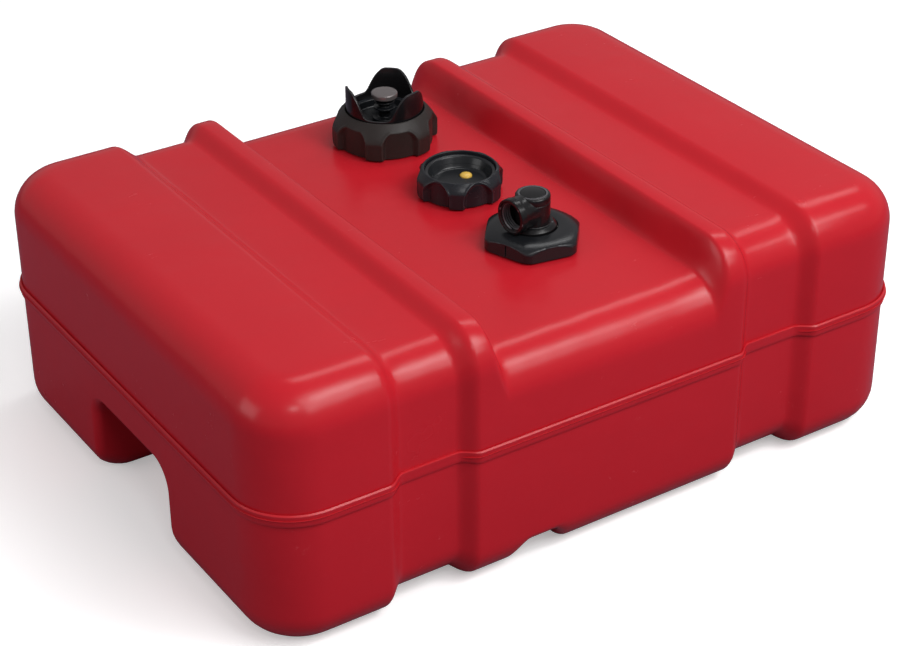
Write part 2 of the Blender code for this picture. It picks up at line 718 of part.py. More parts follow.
def crown():
    """The guard round the vent screw: a ring with three tall petals, narrower at their tips."""
    _, flange, ledge = filler_stack()
    low = flange + INNER_CAP_FLANGE + SEAT_GAP
    outer = FILLER_CAP_OPENING_RADIUS - SEAT_GAP * 2
    inner = outer - CROWN_WALL
    valley = low + CROWN_RING_HEIGHT
    tip = low + CROWN_HEIGHT
    marks = list(PETAL_SHARES) + [(0, 1.0)] + [(-angle, rise) for angle, rise in PETAL_SHARES[:0:-1]]
    columns = []
    for petal in range(3):
        for angle, rise in marks:
            turn = math.radians(CROWN_TURN + angle + 120 * petal)
            columns.append((turn, valley + (tip - valley) * rise))
    rings = []
    levels = ((outer, 0.0), (outer, 0.5), (outer, 1.0), (inner, 1.0), (inner, 0.5), (inner, 0.0))
    for radius, share in levels:
        ring = []
        for turn, top in columns:
            height = low + (top - low) * share
            ring.append(Vector((radius * math.cos(turn), radius * math.sin(turn), height)))
        rings.append(ring)
    return skin(rings, wrap=True)


def filler(necks):
    """The vented filler cap, from its gasket up to the vent knob."""
    axis, _, _, _, thread_middle = necks["filler"]
    neck_outer = FILLER_NECK_RADIUS
    inner = FILLER_CAP_INNER_RADIUS
    gasket_z, flange_z, ledge_z = filler_stack()
    top = ledge_z + FILLER_CAP_LEDGE

    gasket_top = gasket_z + FILLER_GASKET_THICKNESS
    gasket = ring_outline(FILLER_BORE_RADIUS + SEAT_GAP, neck_outer, gasket_z, gasket_top)
    make("filler_cap_gasket", turned(gasket), RUBBER, 0.7, parent=axis)

    grip = grip_cap(
        FILLER_FLUTE_TURN,
        FILLER_CAP_RADIUS,
        FILLER_FLUTE_DEPTH,
        top,
        FILLER_CAP_SHOULDER_HEIGHT,
        FILLER_CAP_SHOULDER_RUN,
        FILLER_CAP_OPENING_RADIUS,
        FILLER_CAP_LEDGE,
        inner,
    )
    shell = make("filler_cap_shell", grip, WARM_BLACK, 0.55, parent=axis)
    cap_thread(shell, "filler", axis, inner, neck_outer, thread_middle, FILLER_PITCH, FILLER_THREAD_TURNS)

    make("filler_guard_crown", crown(), BLACK, 0.3, parent=axis)

    side = FILLER_BORE_RADIUS - INNER_CAP_SIDE_GAP
    floor_top = flange_z + INNER_CAP_FLANGE - INNER_CAP_DEPTH + INNER_CAP_FLOOR
    floor_low = floor_top - INNER_CAP_FLOOR
    bore = VENT_STEM_RADIUS + VENT_BORE_GAP
    flange_top = flange_z + INNER_CAP_FLANGE
    outline = [
        (bore, floor_low),
        (side, floor_low),
        (side, flange_z),
        (inner - SEAT_GAP, flange_z),
        (inner - SEAT_GAP, flange_top),
        (side - INNER_CAP_WALL, flange_top),
        (side - INNER_CAP_WALL, floor_top),
        (bore, floor_top),
    ]
    make("filler_inner_cap", turned(outline), BLACK, 0.4, parent=axis)
    vent(axis, floor_low, floor_top)


def cap_thread(cap, name, axis, inner, neck_outer, middle, pitch, turns):
    """The cap's own thread, half a pitch from the neck's, so that the two ridges lie side by side. Its
    crest lies further out by what the flat sides between its steps cut off."""
    crest = (neck_outer + THREAD_GAP) / math.cos(math.pi / THREAD_STEPS)
    ridge = thread(inner + JOIN_OVERLAP, crest, middle + pitch / 2, pitch, turns, THREAD_STEPS)
    boolean(cap, helper(f"{name}_cap_thread", ridge, axis), "UNION")


def vent(axis, floor_low, floor_top):
    """The vent screw with its knob and O-ring, and the sprung valve under the inner cap."""
    ring_z = floor_top + SEAT_GAP
    ring_top = ring_z + O_RING_THICKNESS
    ring = ring_outline(VENT_STEM_RADIUS + VENT_BORE_GAP, O_RING_RADIUS, ring_z, ring_top)
    make("vent_o_ring", turned(ring, SMALL_STEPS), RUBBER, 0.7, parent=axis)

    flange = ring_top + SEAT_GAP
    flange_top = flange + VENT_FLANGE_THICKNESS
    neck_top = flange_top + VENT_NECK_HEIGHT
    valve_top = floor_low - VALVE_DISC_GAP
    screw = [
        (0, valve_top + SEAT_GAP),
        (VENT_STEM_RADIUS, valve_top + SEAT_GAP),
        (VENT_STEM_RADIUS, flange),
        (VENT_FLANGE_RADIUS, flange),
        (VENT_FLANGE_RADIUS, flange_top),
        (VENT_NECK_RADIUS, flange_top),
        (VENT_NECK_RADIUS, neck_top),
        (0, neck_top),
    ]
    make("vent_screw", turned(screw, SMALL_STEPS), BLACK, 0.35, parent=axis)

    low = neck_top + SEAT_GAP
    high = low + VENT_KNOB_HEIGHT
    edge = VENT_KNOB_HEIGHT / 3
    knob = [(0, low), (VENT_KNOB_RADIUS, low)]
    knob += arc((VENT_KNOB_RADIUS - edge, high - edge), edge, edge, 0, 90, 2)
    knob += [(VENT_KNOB_RADIUS / 2, high + edge / 2), (0, high + edge / 2)]
    make("vent_knob", turned(knob), KNOB_GREY, 0.25, parent=axis)

    cage_top = floor_low - SEAT_GAP
    cage_low = cage_top - VALVE_CAGE_HEIGHT
    inside = VALVE_CAGE_RADIUS - VALVE_CAGE_WALL
    hole = inside / 2
    cage = [
        (hole, cage_low),
        (VALVE_CAGE_RADIUS, cage_low),
        (VALVE_CAGE_RADIUS, cage_top),
        (inside, cage_top),
        (inside, cage_low + VALVE_CAGE_WALL),
        (hole, cage_low + VALVE_CAGE_WALL),
    ]
    make("vent_valve_cage", turned(cage, SMALL_STEPS), BLACK, 0.5, parent=axis)

    disc_low = valve_top - VALVE_DISC_THICKNESS
    disc = cylinder_cutter(inside - VALVE_DISC_GAP, disc_low, valve_top, SMALL_STEPS)
    make("vent_valve_disc", disc, RUBBER, 0.6, parent=axis)

    spring_low = cage_low + VALVE_CAGE_WALL + SEAT_GAP
    spring_radius = (hole + inside) / 2
    spring = coil(spring_radius, VALVE_SPRING_WIRE, spring_low, disc_low - SEAT_GAP, VALVE_SPRING_TURNS)
    make("vent_valve_spring", spring, STEEL, 0.3, 1.0, parent=axis)


def gauge(necks):
    """The gauge: collar, head with its domed window, dial, twisted spindle, guide rods and float."""
    axis, _, _, _, thread_middle = necks["gauge"]
    neck_outer = GAUGE_BORE_RADIUS + GAUGE_NECK_WALL
    inner = neck_outer + GAUGE_THREAD_HEIGHT + THREAD_GAP
    outer = inner + GAUGE_COLLAR_GRIP
    gasket_z = GAUGE_NECK_HEIGHT + SEAT_GAP
    flange_z = gasket_z + GAUGE_GASKET_THICKNESS + SEAT_GAP
    slip_z = flange_z + GAUGE_HEAD_FLANGE + SEAT_GAP
    ledge_z = slip_z + GAUGE_SLIP_RING_THICKNESS + SEAT_GAP
    top = ledge_z + GAUGE_COLLAR_LEDGE

    gasket_top = gasket_z + GAUGE_GASKET_THICKNESS
    gasket = ring_outline(GAUGE_BORE_RADIUS + SEAT_GAP, neck_outer, gasket_z, gasket_top)
    make("gauge_gasket", turned(gasket), RUBBER, 0.7, parent=axis)
    slip_top = slip_z + GAUGE_SLIP_RING_THICKNESS
    slip = ring_outline(GAUGE_COLLAR_OPENING_RADIUS, inner - SEAT_GAP, slip_z, slip_top)
    make("gauge_slip_ring", turned(slip), WHITE, 0.4, parent=axis)
    collar = grip_cap(
        GAUGE_FLUTE_TURN,
        outer,
        GAUGE_FLUTE_DEPTH,
        top,
        GAUGE_COLLAR_SHOULDER_HEIGHT,
        GAUGE_COLLAR_SHOULDER_RUN,
        GAUGE_COLLAR_OPENING_RADIUS,
        GAUGE_COLLAR_LEDGE,
        inner,
    )
    ring = make("gauge_collar", collar, BLACK, 0.4, parent=axis)
    cap_thread(ring, "gauge", axis, inner, neck_outer, thread_middle, GAUGE_PITCH, GAUGE_THREAD_TURNS)

    cup = GAUGE_BORE_RADIUS - THREAD_GAP
    flange_top = flange_z + GAUGE_HEAD_FLANGE
    floor_low = flange_top - GAUGE_HEAD_DEPTH
    floor_top = floor_low + GAUGE_HEAD_FLOOR
    head_outline = [
        (0, floor_low),
        (cup, floor_low),
        (cup, flange_z),
        (neck_outer, flange_z),
        (neck_outer, flange_top),
        (cup - GAUGE_HEAD_WALL, flange_top),
        (cup - GAUGE_HEAD_WALL, floor_top),
        (0, floor_top),
    ]
    head = make("gauge_head", turned(head_outline), BLACK, 0.4, parent=axis)
    lens_angle = math.radians(LENS_PLACE_ANGLE)
    lens_place = Vector((math.cos(lens_angle), math.sin(lens_angle), 0)) * LENS_PLACE_RADIUS
    seat_z = floor_top - LENS_SEAT_DEPTH
    cut_low = floor_low - CUT_OVERRUN
    cut_top = floor_top + CUT_OVERRUN
    window = cylinder_cutter(LENS_RADIUS - LENS_WALL, cut_low, cut_top, SMALL_STEPS)
    seat = cylinder_cutter(LENS_RADIUS + SEAT_GAP, seat_z, cut_top, SMALL_STEPS)
    pivot_top = floor_low + GAUGE_HEAD_FLOOR / 2
    pivot = cylinder_cutter(SPINDLE_PIN_RADIUS * PIVOT_SHARE, cut_low, pivot_top, SMALL_STEPS)
    boolean(head, helper("gauge_window_cutter", window, axis, lens_place), "DIFFERENCE")
    boolean(head, helper("gauge_window_seat", seat, axis, lens_place), "DIFFERENCE")
    boolean(head, helper("gauge_pivot_cutter", pivot, axis), "DIFFERENCE")

    lens_low = seat_z + SEAT_GAP
    dome_height = LENS_RADIUS * DOME_SHARE
    dome = arc((0, lens_low + LENS_WALL), LENS_RADIUS, dome_height, 0, 90, 3)
    under = arc((0, lens_low + LENS_WALL), LENS_RADIUS - LENS_WALL, dome_height - LENS_WALL, 90, 0, 3)
    lens = [(LENS_RADIUS - LENS_WALL, lens_low), (LENS_RADIUS, lens_low)] + dome + under
    make("gauge_lens", turned(lens), AMBER, 0.08, parent=axis, place=lens_place)

    dial_top = floor_low - DIAL_GAP
    dial_low = dial_top - DIAL_THICKNESS
    dial = ring_outline(SPINDLE_PIN_RADIUS + SEAT_GAP, DIAL_RADIUS, dial_low, dial_top)
    make("gauge_dial", turned(dial), BLACK, 0.6, parent=axis)
    marker(axis, dial_top + SEAT_GAP)
    gauge_float(axis, floor_low, dial_low, pivot_top)


def marker(axis, low):
    """The bright sector on the dial that shows through the window."""
    rings = []
    inner = LENS_PLACE_RADIUS - LENS_RADIUS
    outer = LENS_PLACE_RADIUS + LENS_RADIUS
    for i in range(MARKER_STEPS + 1):
        turn = math.radians(LENS_PLACE_ANGLE - MARKER_SPAN / 2 + MARKER_SPAN * i / MARKER_STEPS)
        across = Vector((math.cos(turn), math.sin(turn), 0))
        corners = ring_outline(inner, outer, low, low + MARKER_THICKNESS)
        rings.append([across * radius + Vector((0, 0, height)) for radius, height in corners])
    make("dial_marker", skin(rings), YELLOW, 0.5, parent=axis)


def gauge_float(axis, head_low, dial_low, pivot_top):
    """The float, its guides and the twisted spindle that it turns. Heights here are above the deck."""
    floor = WALL - DECK_HEIGHT
    foot_low = floor + FOOT_FLOOR_GAP
    foot_top = foot_low + FOOT_THICKNESS
    rod_low = foot_top + SEAT_GAP
    rod_high = head_low - SEAT_GAP
    for side, sign in (("left", -1), ("right", 1)):
        place = (sign * GUIDE_ROD_PLACE_RADIUS, 0, 0)
        rod = cylinder_cutter(GUIDE_ROD_RADIUS, rod_low, rod_high, ROD_STEPS)
        make(f"guide_rod_{side}", rod, STEEL, 0.3, 1.0, parent=axis, place=place)

    foot_size = (2 * GUIDE_ROD_PLACE_RADIUS + FOOT_WIDTH / 2, FOOT_WIDTH, FOOT_THICKNESS)
    bar = box_cutter(foot_size, (0, 0, (foot_low + foot_top) / 2))
    upright = [e for e in bar.edges if abs(e.verts[0].co.z - e.verts[1].co.z) > FOOT_THICKNESS / 2]
    bmesh.ops.bevel(bar, geom=upright, offset=FOOT_WIDTH / 3, segments=3, affect="EDGES")
    foot = make("gauge_foot", bar, WHITE, 0.5, parent=axis)
    hole_low = foot_low - CUT_OVERRUN
    hole_top = foot_top + CUT_OVERRUN
    pin_hole = cylinder_cutter(SPINDLE_PIN_RADIUS * PIVOT_SHARE, hole_low, hole_top, ROD_STEPS)
    boolean(foot, helper("gauge_foot_hole", pin_hole, axis), "DIFFERENCE")

    float_low = foot_top + SEAT_GAP
    float_high = float_low + FLOAT_HEIGHT
    ledge = float_high - DRIVE_PLATE_THICKNESS - SEAT_GAP
    outline = [
        (FLOAT_BORE_RADIUS, float_low),
        (FLOAT_RADIUS, float_low),
        (FLOAT_RADIUS, float_high),
        (DRIVE_PLATE_RADIUS + SEAT_GAP, float_high),
        (DRIVE_PLATE_RADIUS + SEAT_GAP, ledge),
        (FLOAT_BORE_RADIUS, ledge),
    ]
    drum = make("gauge_float", turned(outline), TAN, 0.8, parent=axis)
    hole_radius = GUIDE_ROD_RADIUS + GUIDE_ROD_HOLE_GAP
    for side, sign in (("left", -1), ("right", 1)):
        place = (sign * GUIDE_ROD_PLACE_RADIUS, 0, 0)
        hole = cylinder_cutter(hole_radius, float_low - CUT_OVERRUN, float_high + CUT_OVERRUN, ROD_STEPS)
        boolean(drum, helper(f"float_rod_hole_{side}", hole, axis, place), "DIFFERENCE")

    plate_low = ledge + SEAT_GAP
    plate_high = plate_low + DRIVE_PLATE_THICKNESS - SEAT_GAP
    strip_low = foot_top + SEAT_GAP * 2
    strip_high = dial_low - SEAT_GAP
    twist_per_metre = math.radians(SPINDLE_TURN) / FLOAT_TRAVEL
    plate_angle = twist_per_metre * ((plate_low + plate_high) / 2 - strip_low)
    plate = make(
        "float_drive_plate",
        cylinder_cutter(DRIVE_PLATE_RADIUS, plate_low, plate_high, SMALL_STEPS),
        WHITE,
        0.5,
        parent=axis,
    )
    slot_width = SPINDLE_WIDTH + 2 * DRIVE_SLOT_GAP
    slot_thickness = SPINDLE_THICKNESS + 2 * DRIVE_SLOT_GAP
    slot = box_cutter((slot_width, slot_thickness, 4 * DRIVE_PLATE_THICKNESS), (0, 0, plate_low))
    bmesh.ops.rotate(slot, verts=slot.verts, cent=(0, 0, 0), matrix=Matrix.Rotation(plate_angle, 3, "Z"))
    boolean(plate, helper("drive_plate_slot", slot, axis), "DIFFERENCE")
    spindle(axis, strip_low, strip_high, foot_low, pivot_top, twist_per_metre)


def spindle(axis, strip_low, strip_high, foot_low, pivot_top, twist_per_metre):
    """A flat strip twisted at a steady rate, with a square pin at each end."""
    pin = SPINDLE_PIN_RADIUS / math.sqrt(2)
    half_width = SPINDLE_WIDTH / 2
    half_thickness = SPINDLE_THICKNESS / 2
    whole_twist = math.degrees(twist_per_metre) * (strip_high - strip_low)
    count = math.ceil(whole_twist / SPINDLE_STEP_DEGREES)

    def section(x, y, turn, height):
        corners = ((-x, -y), (x, -y), (x, y), (-x, y))
        spin = Matrix.Rotation(turn, 3, "Z")
        return [spin @ Vector((a, b, 0)) + Vector((0, 0, height)) for a, b in corners]

    rings = [section(pin, pin, 0, foot_low + SEAT_GAP), section(pin, pin, 0, strip_low)]
    for i in range(count + 1):
        height = strip_low + (strip_high - strip_low) * i / count
        turn = twist_per_metre * (height - strip_low)
        rings.append(section(half_width, half_thickness, turn, height))
    last = twist_per_metre * (strip_high - strip_low)
    rings.append(section(pin, pin, last, strip_high))
    rings.append(section(pin, pin, last, pivot_top - SEAT_GAP))
    make("gauge_spindle", skin(rings), STEEL, 0.3, 1.0, parent=axis)


def hex_ring(apothem, cone_radius, height):
    """One level of a six-sided collar. A cone cuts its corners, which leaves arched tops on its sides."""
    ring = []
    for i in range(HEX_STEPS):
        turn = math.tau * i / HEX_STEPS
        away = math.fmod(turn, math.tau / 6) - math.pi / 6
        reach = min(apothem / math.cos(away), cone_radius)
        angle = turn + math.radians(PICKUP_HEX_TURN)
        ring.append(Vector((reach * math.cos(angle), reach * math.sin(angle), height)))
    return ring


def pickup(necks):
    """The pickup: six-sided collar, swivelling elbow with a check valve, and a tube down to a screen."""
    axis, _, _, _, thread_middle = necks["pickup"]
    neck_outer = PICKUP_BORE_RADIUS + PICKUP_NECK_WALL
    inner = neck_outer + PICKUP_THREAD_HEIGHT + THREAD_GAP
    apothem = inner + PICKUP_COLLAR_GRIP
    corner = apothem / math.cos(math.pi / 6)
    gasket_z = PICKUP_NECK_HEIGHT + SEAT_GAP
    flange_z = gasket_z + PICKUP_GASKET_THICKNESS + SEAT_GAP
    slip_z = flange_z + ELBOW_FLANGE_THICKNESS + SEAT_GAP
    ledge_z = slip_z + PICKUP_SLIP_RING_THICKNESS + SEAT_GAP
    top = ledge_z + PICKUP_COLLAR_LEDGE

    gasket_top = gasket_z + PICKUP_GASKET_THICKNESS
    gasket = ring_outline(PICKUP_BORE_RADIUS + SEAT_GAP, neck_outer, gasket_z, gasket_top)
    make("pickup_gasket", turned(gasket), RUBBER, 0.7, parent=axis)
    slip_top = slip_z + PICKUP_SLIP_RING_THICKNESS
    slip = ring_outline(PICKUP_COLLAR_OPENING_RADIUS, inner - SEAT_GAP, slip_z, slip_top)
    make("pickup_slip_ring", turned(slip), WHITE, 0.4, parent=axis)

    chamfer = top - PICKUP_CHAMFER_HEIGHT
    rings = [hex_ring(apothem, corner, DECK_GAP), hex_ring(apothem, corner, chamfer)]
    for share in BEVEL_SHARES:
        cone = corner + (inner - corner) * share
        rings.append(hex_ring(apothem, cone, chamfer + PICKUP_CHAMFER_HEIGHT * share))
    rings.append(hex_ring(apothem, PICKUP_COLLAR_OPENING_RADIUS, top))
    rings.append(hex_ring(apothem, PICKUP_COLLAR_OPENING_RADIUS, ledge_z))
    rings.append(hex_ring(apothem, inner, ledge_z))
    rings.append(hex_ring(apothem, inner, DECK_GAP))
    collar = make("pickup_collar", skin(rings, wrap=True), BLACK, 0.35, parent=axis)
    cap_thread(collar, "pickup", axis, inner, neck_outer, thread_middle, PICKUP_PITCH, PICKUP_THREAD_TURNS)
    elbow(axis, inner, flange_z)


def elbow(axis, collar_inner, flange_z):
    """The swivelling elbow: flange, stepped boss, upright and the threaded side port. The bore of the
    upright is cut last, through the root of the port."""
    flange_top = flange_z + ELBOW_FLANGE_THICKNESS
    boss_top = flange_top + BOSS_HEIGHT
    stem_low = flange_z - ELBOW_STEM_LENGTH
    outline = [
        (0, stem_low),
        (ELBOW_STEM_RADIUS, stem_low),
        (ELBOW_STEM_RADIUS, flange_z),
        (collar_inner - THREAD_GAP, flange_z),
        (collar_inner - THREAD_GAP, flange_top),
        (BOSS_RADIUS, flange_top),
        (BOSS_RADIUS, boss_top - BOSS_STEP_HEIGHT),
        (BOSS_STEP_RADIUS, boss_top),
        (UPRIGHT_RADIUS, boss_top),
    ]
    edge = UPRIGHT_EDGE_RADIUS
    outline += arc((UPRIGHT_RADIUS - edge, UPRIGHT_HEIGHT - edge), edge, edge, 0, 90, 2)
    outline += [(0, UPRIGHT_HEIGHT)]
    body = make("pickup_elbow", turned(outline), BLACK, 0.3, parent=axis)

    aim = math.radians(PORT_ANGLE)
    along_port = Matrix.Rotation(aim, 4, "Z") @ Matrix.Rotation(math.pi / 2, 4, "Y")
    lift = Matrix.Translation((0, 0, PORT_HEIGHT))
    port_outline = [
        (0, 0),
        (PORT_RADIUS, 0),
        (PORT_RADIUS, PORT_REACH - PORT_RIM_LENGTH),
        (PORT_RIM_RADIUS, PORT_REACH - PORT_RIM_LENGTH * (1 - PORT_BEVEL_SHARE)),
        (PORT_RIM_RADIUS, PORT_REACH),
        (0, PORT_REACH),
    ]
    port = turned(port_outline)
    bore_low = PORT_REACH - PORT_BORE_DEPTH
    bore = cylinder_cutter(PORT_BORE_RADIUS, bore_low, PORT_REACH + CUT_OVERRUN, RING_STEPS)
    passage = cylinder_cutter(PORT_PASSAGE_RADIUS, 0, bore_low + CUT_OVERRUN, SMALL_STEPS)
    crest = PORT_BORE_RADIUS - PORT_THREAD_HEIGHT
    middle = bore_low + PORT_BORE_DEPTH / 2
    root = PORT_BORE_RADIUS + JOIN_OVERLAP
    ridge = thread(root, crest, middle, PORT_THREAD_PITCH, PORT_THREAD_TURNS, PORT_THREAD_STEPS)
    cut_low = stem_low - CUT_OVERRUN
    cut_top = UPRIGHT_HEIGHT + CUT_OVERRUN
    seat_z = UPRIGHT_HEIGHT - TOP_CAP_SEAT_DEPTH
    well_outline = [
        (0, cut_low),
        (UPRIGHT_BORE_RADIUS, cut_low),
        (UPRIGHT_BORE_RADIUS, seat_z),
        (TOP_CAP_RADIUS + SEAT_GAP, seat_z),
        (TOP_CAP_RADIUS + SEAT_GAP, cut_top),
        (0, cut_top),
    ]
    well = turned(well_outline, TURNED_STEPS)
    for shape in (port, bore, passage, ridge):
        bmesh.ops.transform(shape, matrix=lift @ along_port, verts=shape.verts)
    boolean(body, helper("port_blank", port, axis), "UNION")
    boolean(body, helper("port_bore", bore, axis), "DIFFERENCE")
    boolean(body, helper("port_passage", passage, axis), "DIFFERENCE")
    boolean(body, helper("port_thread", ridge, axis), "UNION")
    boolean(body, helper("upright_bore", well, axis), "DIFFERENCE")
    check_valve(axis, stem_low)


def check_valve(axis, stem_low):
    """The plug on top of the upright, and the seat, ball, spring, tube and screen below it."""
    cap_low = UPRIGHT_HEIGHT - TOP_CAP_SEAT_DEPTH + SEAT_GAP
    cap_top = UPRIGHT_HEIGHT + TOP_CAP_PROUD
    plug = UPRIGHT_BORE_RADIUS - SEAT_GAP
    plug_low = cap_low - TOP_CAP_PLUG_LENGTH
    edge = TOP_CAP_PROUD
    outline = [(0, plug_low), (plug, plug_low), (plug, cap_low), (TOP_CAP_RADIUS, cap_low)]
    outline += [(TOP_CAP_RADIUS, cap_top - edge), (TOP_CAP_RADIUS - edge, cap_top), (0, cap_top)]
    make("pickup_top_cap", turned(outline), BLACK, 0.3, parent=axis)

    fit = UPRIGHT_BORE_RADIUS - SEAT_GAP
    tube_top = stem_low + PICKUP_TUBE_INSERT
    seat_low = tube_top + SEAT_GAP
    seat_top = seat_low + VALVE_SEAT_THICKNESS
    seat = ring_outline(VALVE_SEAT_BORE_RADIUS, fit, seat_low, seat_top)
    make("check_valve_seat", turned(seat, SMALL_STEPS), BRASS, 0.3, 1.0, parent=axis)

    rise = math.sqrt(CHECK_BALL_RADIUS**2 - VALVE_SEAT_BORE_RADIUS**2)
    centre = seat_top + rise + SEAT_GAP
    ball = bmesh.new()
    bmesh.ops.create_uvsphere(ball, u_segments=16, v_segments=10, radius=CHECK_BALL_RADIUS)
    make("check_ball", ball, STEEL, 0.15, 1.0, parent=axis, place=(0, 0, centre))

    reach = math.sqrt(CHECK_BALL_RADIUS**2 - (CHECK_SPRING_RADIUS - CHECK_SPRING_WIRE / 2) ** 2)
    spring_low = centre + reach + SEAT_GAP
    spring_high = plug_low - SEAT_GAP
    spring = coil(CHECK_SPRING_RADIUS, CHECK_SPRING_WIRE, spring_low, spring_high, CHECK_SPRING_TURNS)
    make("check_spring", spring, STEEL, 0.3, 1.0, parent=axis)

    floor = WALL - DECK_HEIGHT
    screen_low = floor + SCREEN_FLOOR_GAP
    screen_top = screen_low + SCREEN_HEIGHT
    tube_low = screen_low + SCREEN_HEIGHT / 2
    bush = [
        (PICKUP_TUBE_BORE_RADIUS, tube_low),
        (PICKUP_TUBE_RADIUS, tube_low),
        (PICKUP_TUBE_RADIUS, stem_low),
        (fit, stem_low),
        (fit, tube_top),
        (PICKUP_TUBE_BORE_RADIUS, tube_top),
    ]
    make("pickup_tube", turned(bush, SMALL_STEPS), WHITE, 0.5, parent=axis)

    inside = SCREEN_RADIUS - SCREEN_WALL
    mouth = PICKUP_TUBE_RADIUS + SEAT_GAP
    sock = [
        (0, screen_low),
        (SCREEN_RADIUS, screen_low),
        (SCREEN_RADIUS, screen_top),
        (mouth, screen_top),
        (mouth, screen_top - SCREEN_WALL),
        (inside, screen_top - SCREEN_WALL),
        (inside, screen_low + SCREEN_WALL),
        (0, screen_low + SCREEN_WALL),
    ]
    make("pickup_screen", turned(sock, SMALL_STEPS), TAN, 0.8, parent=axis)


def build():
    clear_scene()
    necks = tank()
    filler(necks)
    gauge(necks)
    pickup(necks)


build()
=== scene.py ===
"""Portable outboard fuel tank: the moulded tank, its filler cap, gauge and pickup fitting modelled over
the solids of the part, with their finishes, a pale floor, soft studio light and a camera."""

import json
import math

import bmesh
import bpy
from mathutils import Matrix, Vector

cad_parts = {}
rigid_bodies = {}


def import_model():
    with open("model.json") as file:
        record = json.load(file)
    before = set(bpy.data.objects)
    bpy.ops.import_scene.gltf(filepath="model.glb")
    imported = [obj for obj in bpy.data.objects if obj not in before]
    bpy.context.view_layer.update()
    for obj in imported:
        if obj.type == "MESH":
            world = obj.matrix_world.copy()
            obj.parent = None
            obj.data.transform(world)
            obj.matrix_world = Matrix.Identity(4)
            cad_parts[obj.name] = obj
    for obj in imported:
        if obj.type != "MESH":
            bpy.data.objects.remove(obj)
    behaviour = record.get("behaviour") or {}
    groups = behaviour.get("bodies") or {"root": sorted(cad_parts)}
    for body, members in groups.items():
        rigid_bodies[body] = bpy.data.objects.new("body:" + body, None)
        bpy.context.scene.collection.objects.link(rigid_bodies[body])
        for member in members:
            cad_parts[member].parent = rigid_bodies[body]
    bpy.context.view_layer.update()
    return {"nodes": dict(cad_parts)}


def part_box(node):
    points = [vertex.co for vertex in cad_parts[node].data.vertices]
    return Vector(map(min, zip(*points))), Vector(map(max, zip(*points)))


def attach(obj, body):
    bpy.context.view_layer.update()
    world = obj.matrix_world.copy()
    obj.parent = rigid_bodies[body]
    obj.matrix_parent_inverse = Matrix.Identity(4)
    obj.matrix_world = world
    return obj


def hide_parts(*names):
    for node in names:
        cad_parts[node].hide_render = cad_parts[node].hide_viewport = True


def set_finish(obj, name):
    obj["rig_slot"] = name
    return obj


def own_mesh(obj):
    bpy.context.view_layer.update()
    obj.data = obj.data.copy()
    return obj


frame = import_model()

# Sizes of the moulded tank
TANK_LENGTH = 0.613
TANK_WIDTH = 0.460
TANK_HEIGHT = 0.225
TANK_WALL = 0.005
CORNER_RADIUS = 0.050
TOP_RADIUS = 0.036
BOTTOM_RADIUS = 0.032
SEAM_HEIGHT = 0.121
SEAM_PROFILE = (
    (-0.0052, 0.0),
    (-0.0043, 0.0016),
    (-0.0036, 0.0028),
    (-0.0026, 0.0034),
    (0.0, 0.0035),
    (0.0026, 0.0034),
    (0.0036, 0.0028),
    (0.0043, 0.0016),
    (0.0052, 0.0),
)
DECK_HEIGHT = 0.195
DECK_HALF_LENGTH = 0.097
DECK_STEP_RUN = 0.016
CHANNEL_CENTRE = 0.164
CHANNEL_FACE = 0.067
CHANNEL_FLOOR = 0.046
CHANNEL_SOFT_OUTSIDE = 0.008
CHANNEL_SOFT_INSIDE = 0.007
CHANNEL_DEPTH = 0.010
CHANNEL_DEPTH_BELOW = 0.008
NOTCH_CENTRE = -0.064
NOTCH_FACE = 0.058
NOTCH_FLOOR = 0.022
NOTCH_HEIGHT = 0.023
NOTCH_EDGE_RADIUS = 0.008
HOLD_WIDTH = 0.125
HOLD_HEIGHT = 0.083
HOLD_DEPTH = 0.085
HOLD_ROOF_RADIUS = 0.019
HOLD_FOOT_RADIUS = 0.020
HOLD_MOUTH_RADIUS = 0.008
HOLD_BACK_RADIUS = 0.010
HOLD_CLEAR = 0.0001

# Cuts across the tank that give it rows of faces, and the least share by which a row is moved
OUTER_STATION = 0.240
LEAST_STATION_GAP = 0.0004
OUTER_ROW = 0.180
LEAST_SHARE = 0.001

# Places of the fittings' axes on the deck, and of the gauge's window
FILLER = (0.022, 0.137)
GAUGE = (0.022, 0.018)
PICKUP = (0.022, -0.087)
WINDOW_REACH = 0.011
WINDOW_TURN = math.radians(30)
WINDOW = (GAUGE[0] + WINDOW_REACH * math.cos(WINDOW_TURN), GAUGE[1] + WINDOW_REACH * math.sin(WINDOW_TURN))

# Each neck's name, axis, bore, outer radius, top, pitch and height of thread
NECKS = (
    ("filler", FILLER, 0.0325, 0.0375, 0.217, 0.006, 0.0022),
    ("gauge", GAUGE, 0.025, 0.029, 0.2075, 0.004, 0.0018),
    ("pickup", PICKUP, 0.023, 0.027, 0.203, 0.003, 0.0016),
)
# How deep a neck starts in the deck, the flare of its foot, and the gap under the skirts of the rings
NECK_SINK = 0.0001
NECK_FOOT_RUN = 0.0015
NECK_FOOT_RISE = 0.0014
SKIRT_GAP = 0.0015

# A neck's thread: how deep its root lies in the wall, its turns, and its start below the top in pitches
THREAD_SINK = 0.0004
NECK_THREAD_TURNS = 1.25
NECK_THREAD_START = 1.7

# A thread's foot and faded end as shares of its pitch, and its crest as a share of the foot
THREAD_FOOT_SHARE = 0.8
THREAD_END_SHARE = 0.3
THREAD_CREST_SHARE = 0.3

STEPS_PER_TURN = 48
FLUTES = 6
PETALS = 3
FLAT_SIDES = 6

# How near corners of a mesh lie to count as one, as in one row and as at one station
TOUCHING = 1e-6
IN_LINE = 1e-5
AT_STATION = 0.00005

# Size of the small plane that is merged into the first point of an outline
START_SIZE = 0.001


def only(piece):
    """Makes one piece the whole selection."""
    bpy.ops.object.select_all(action="DESELECT")
    piece.select_set(True)
    bpy.context.view_layer.objects.active = piece


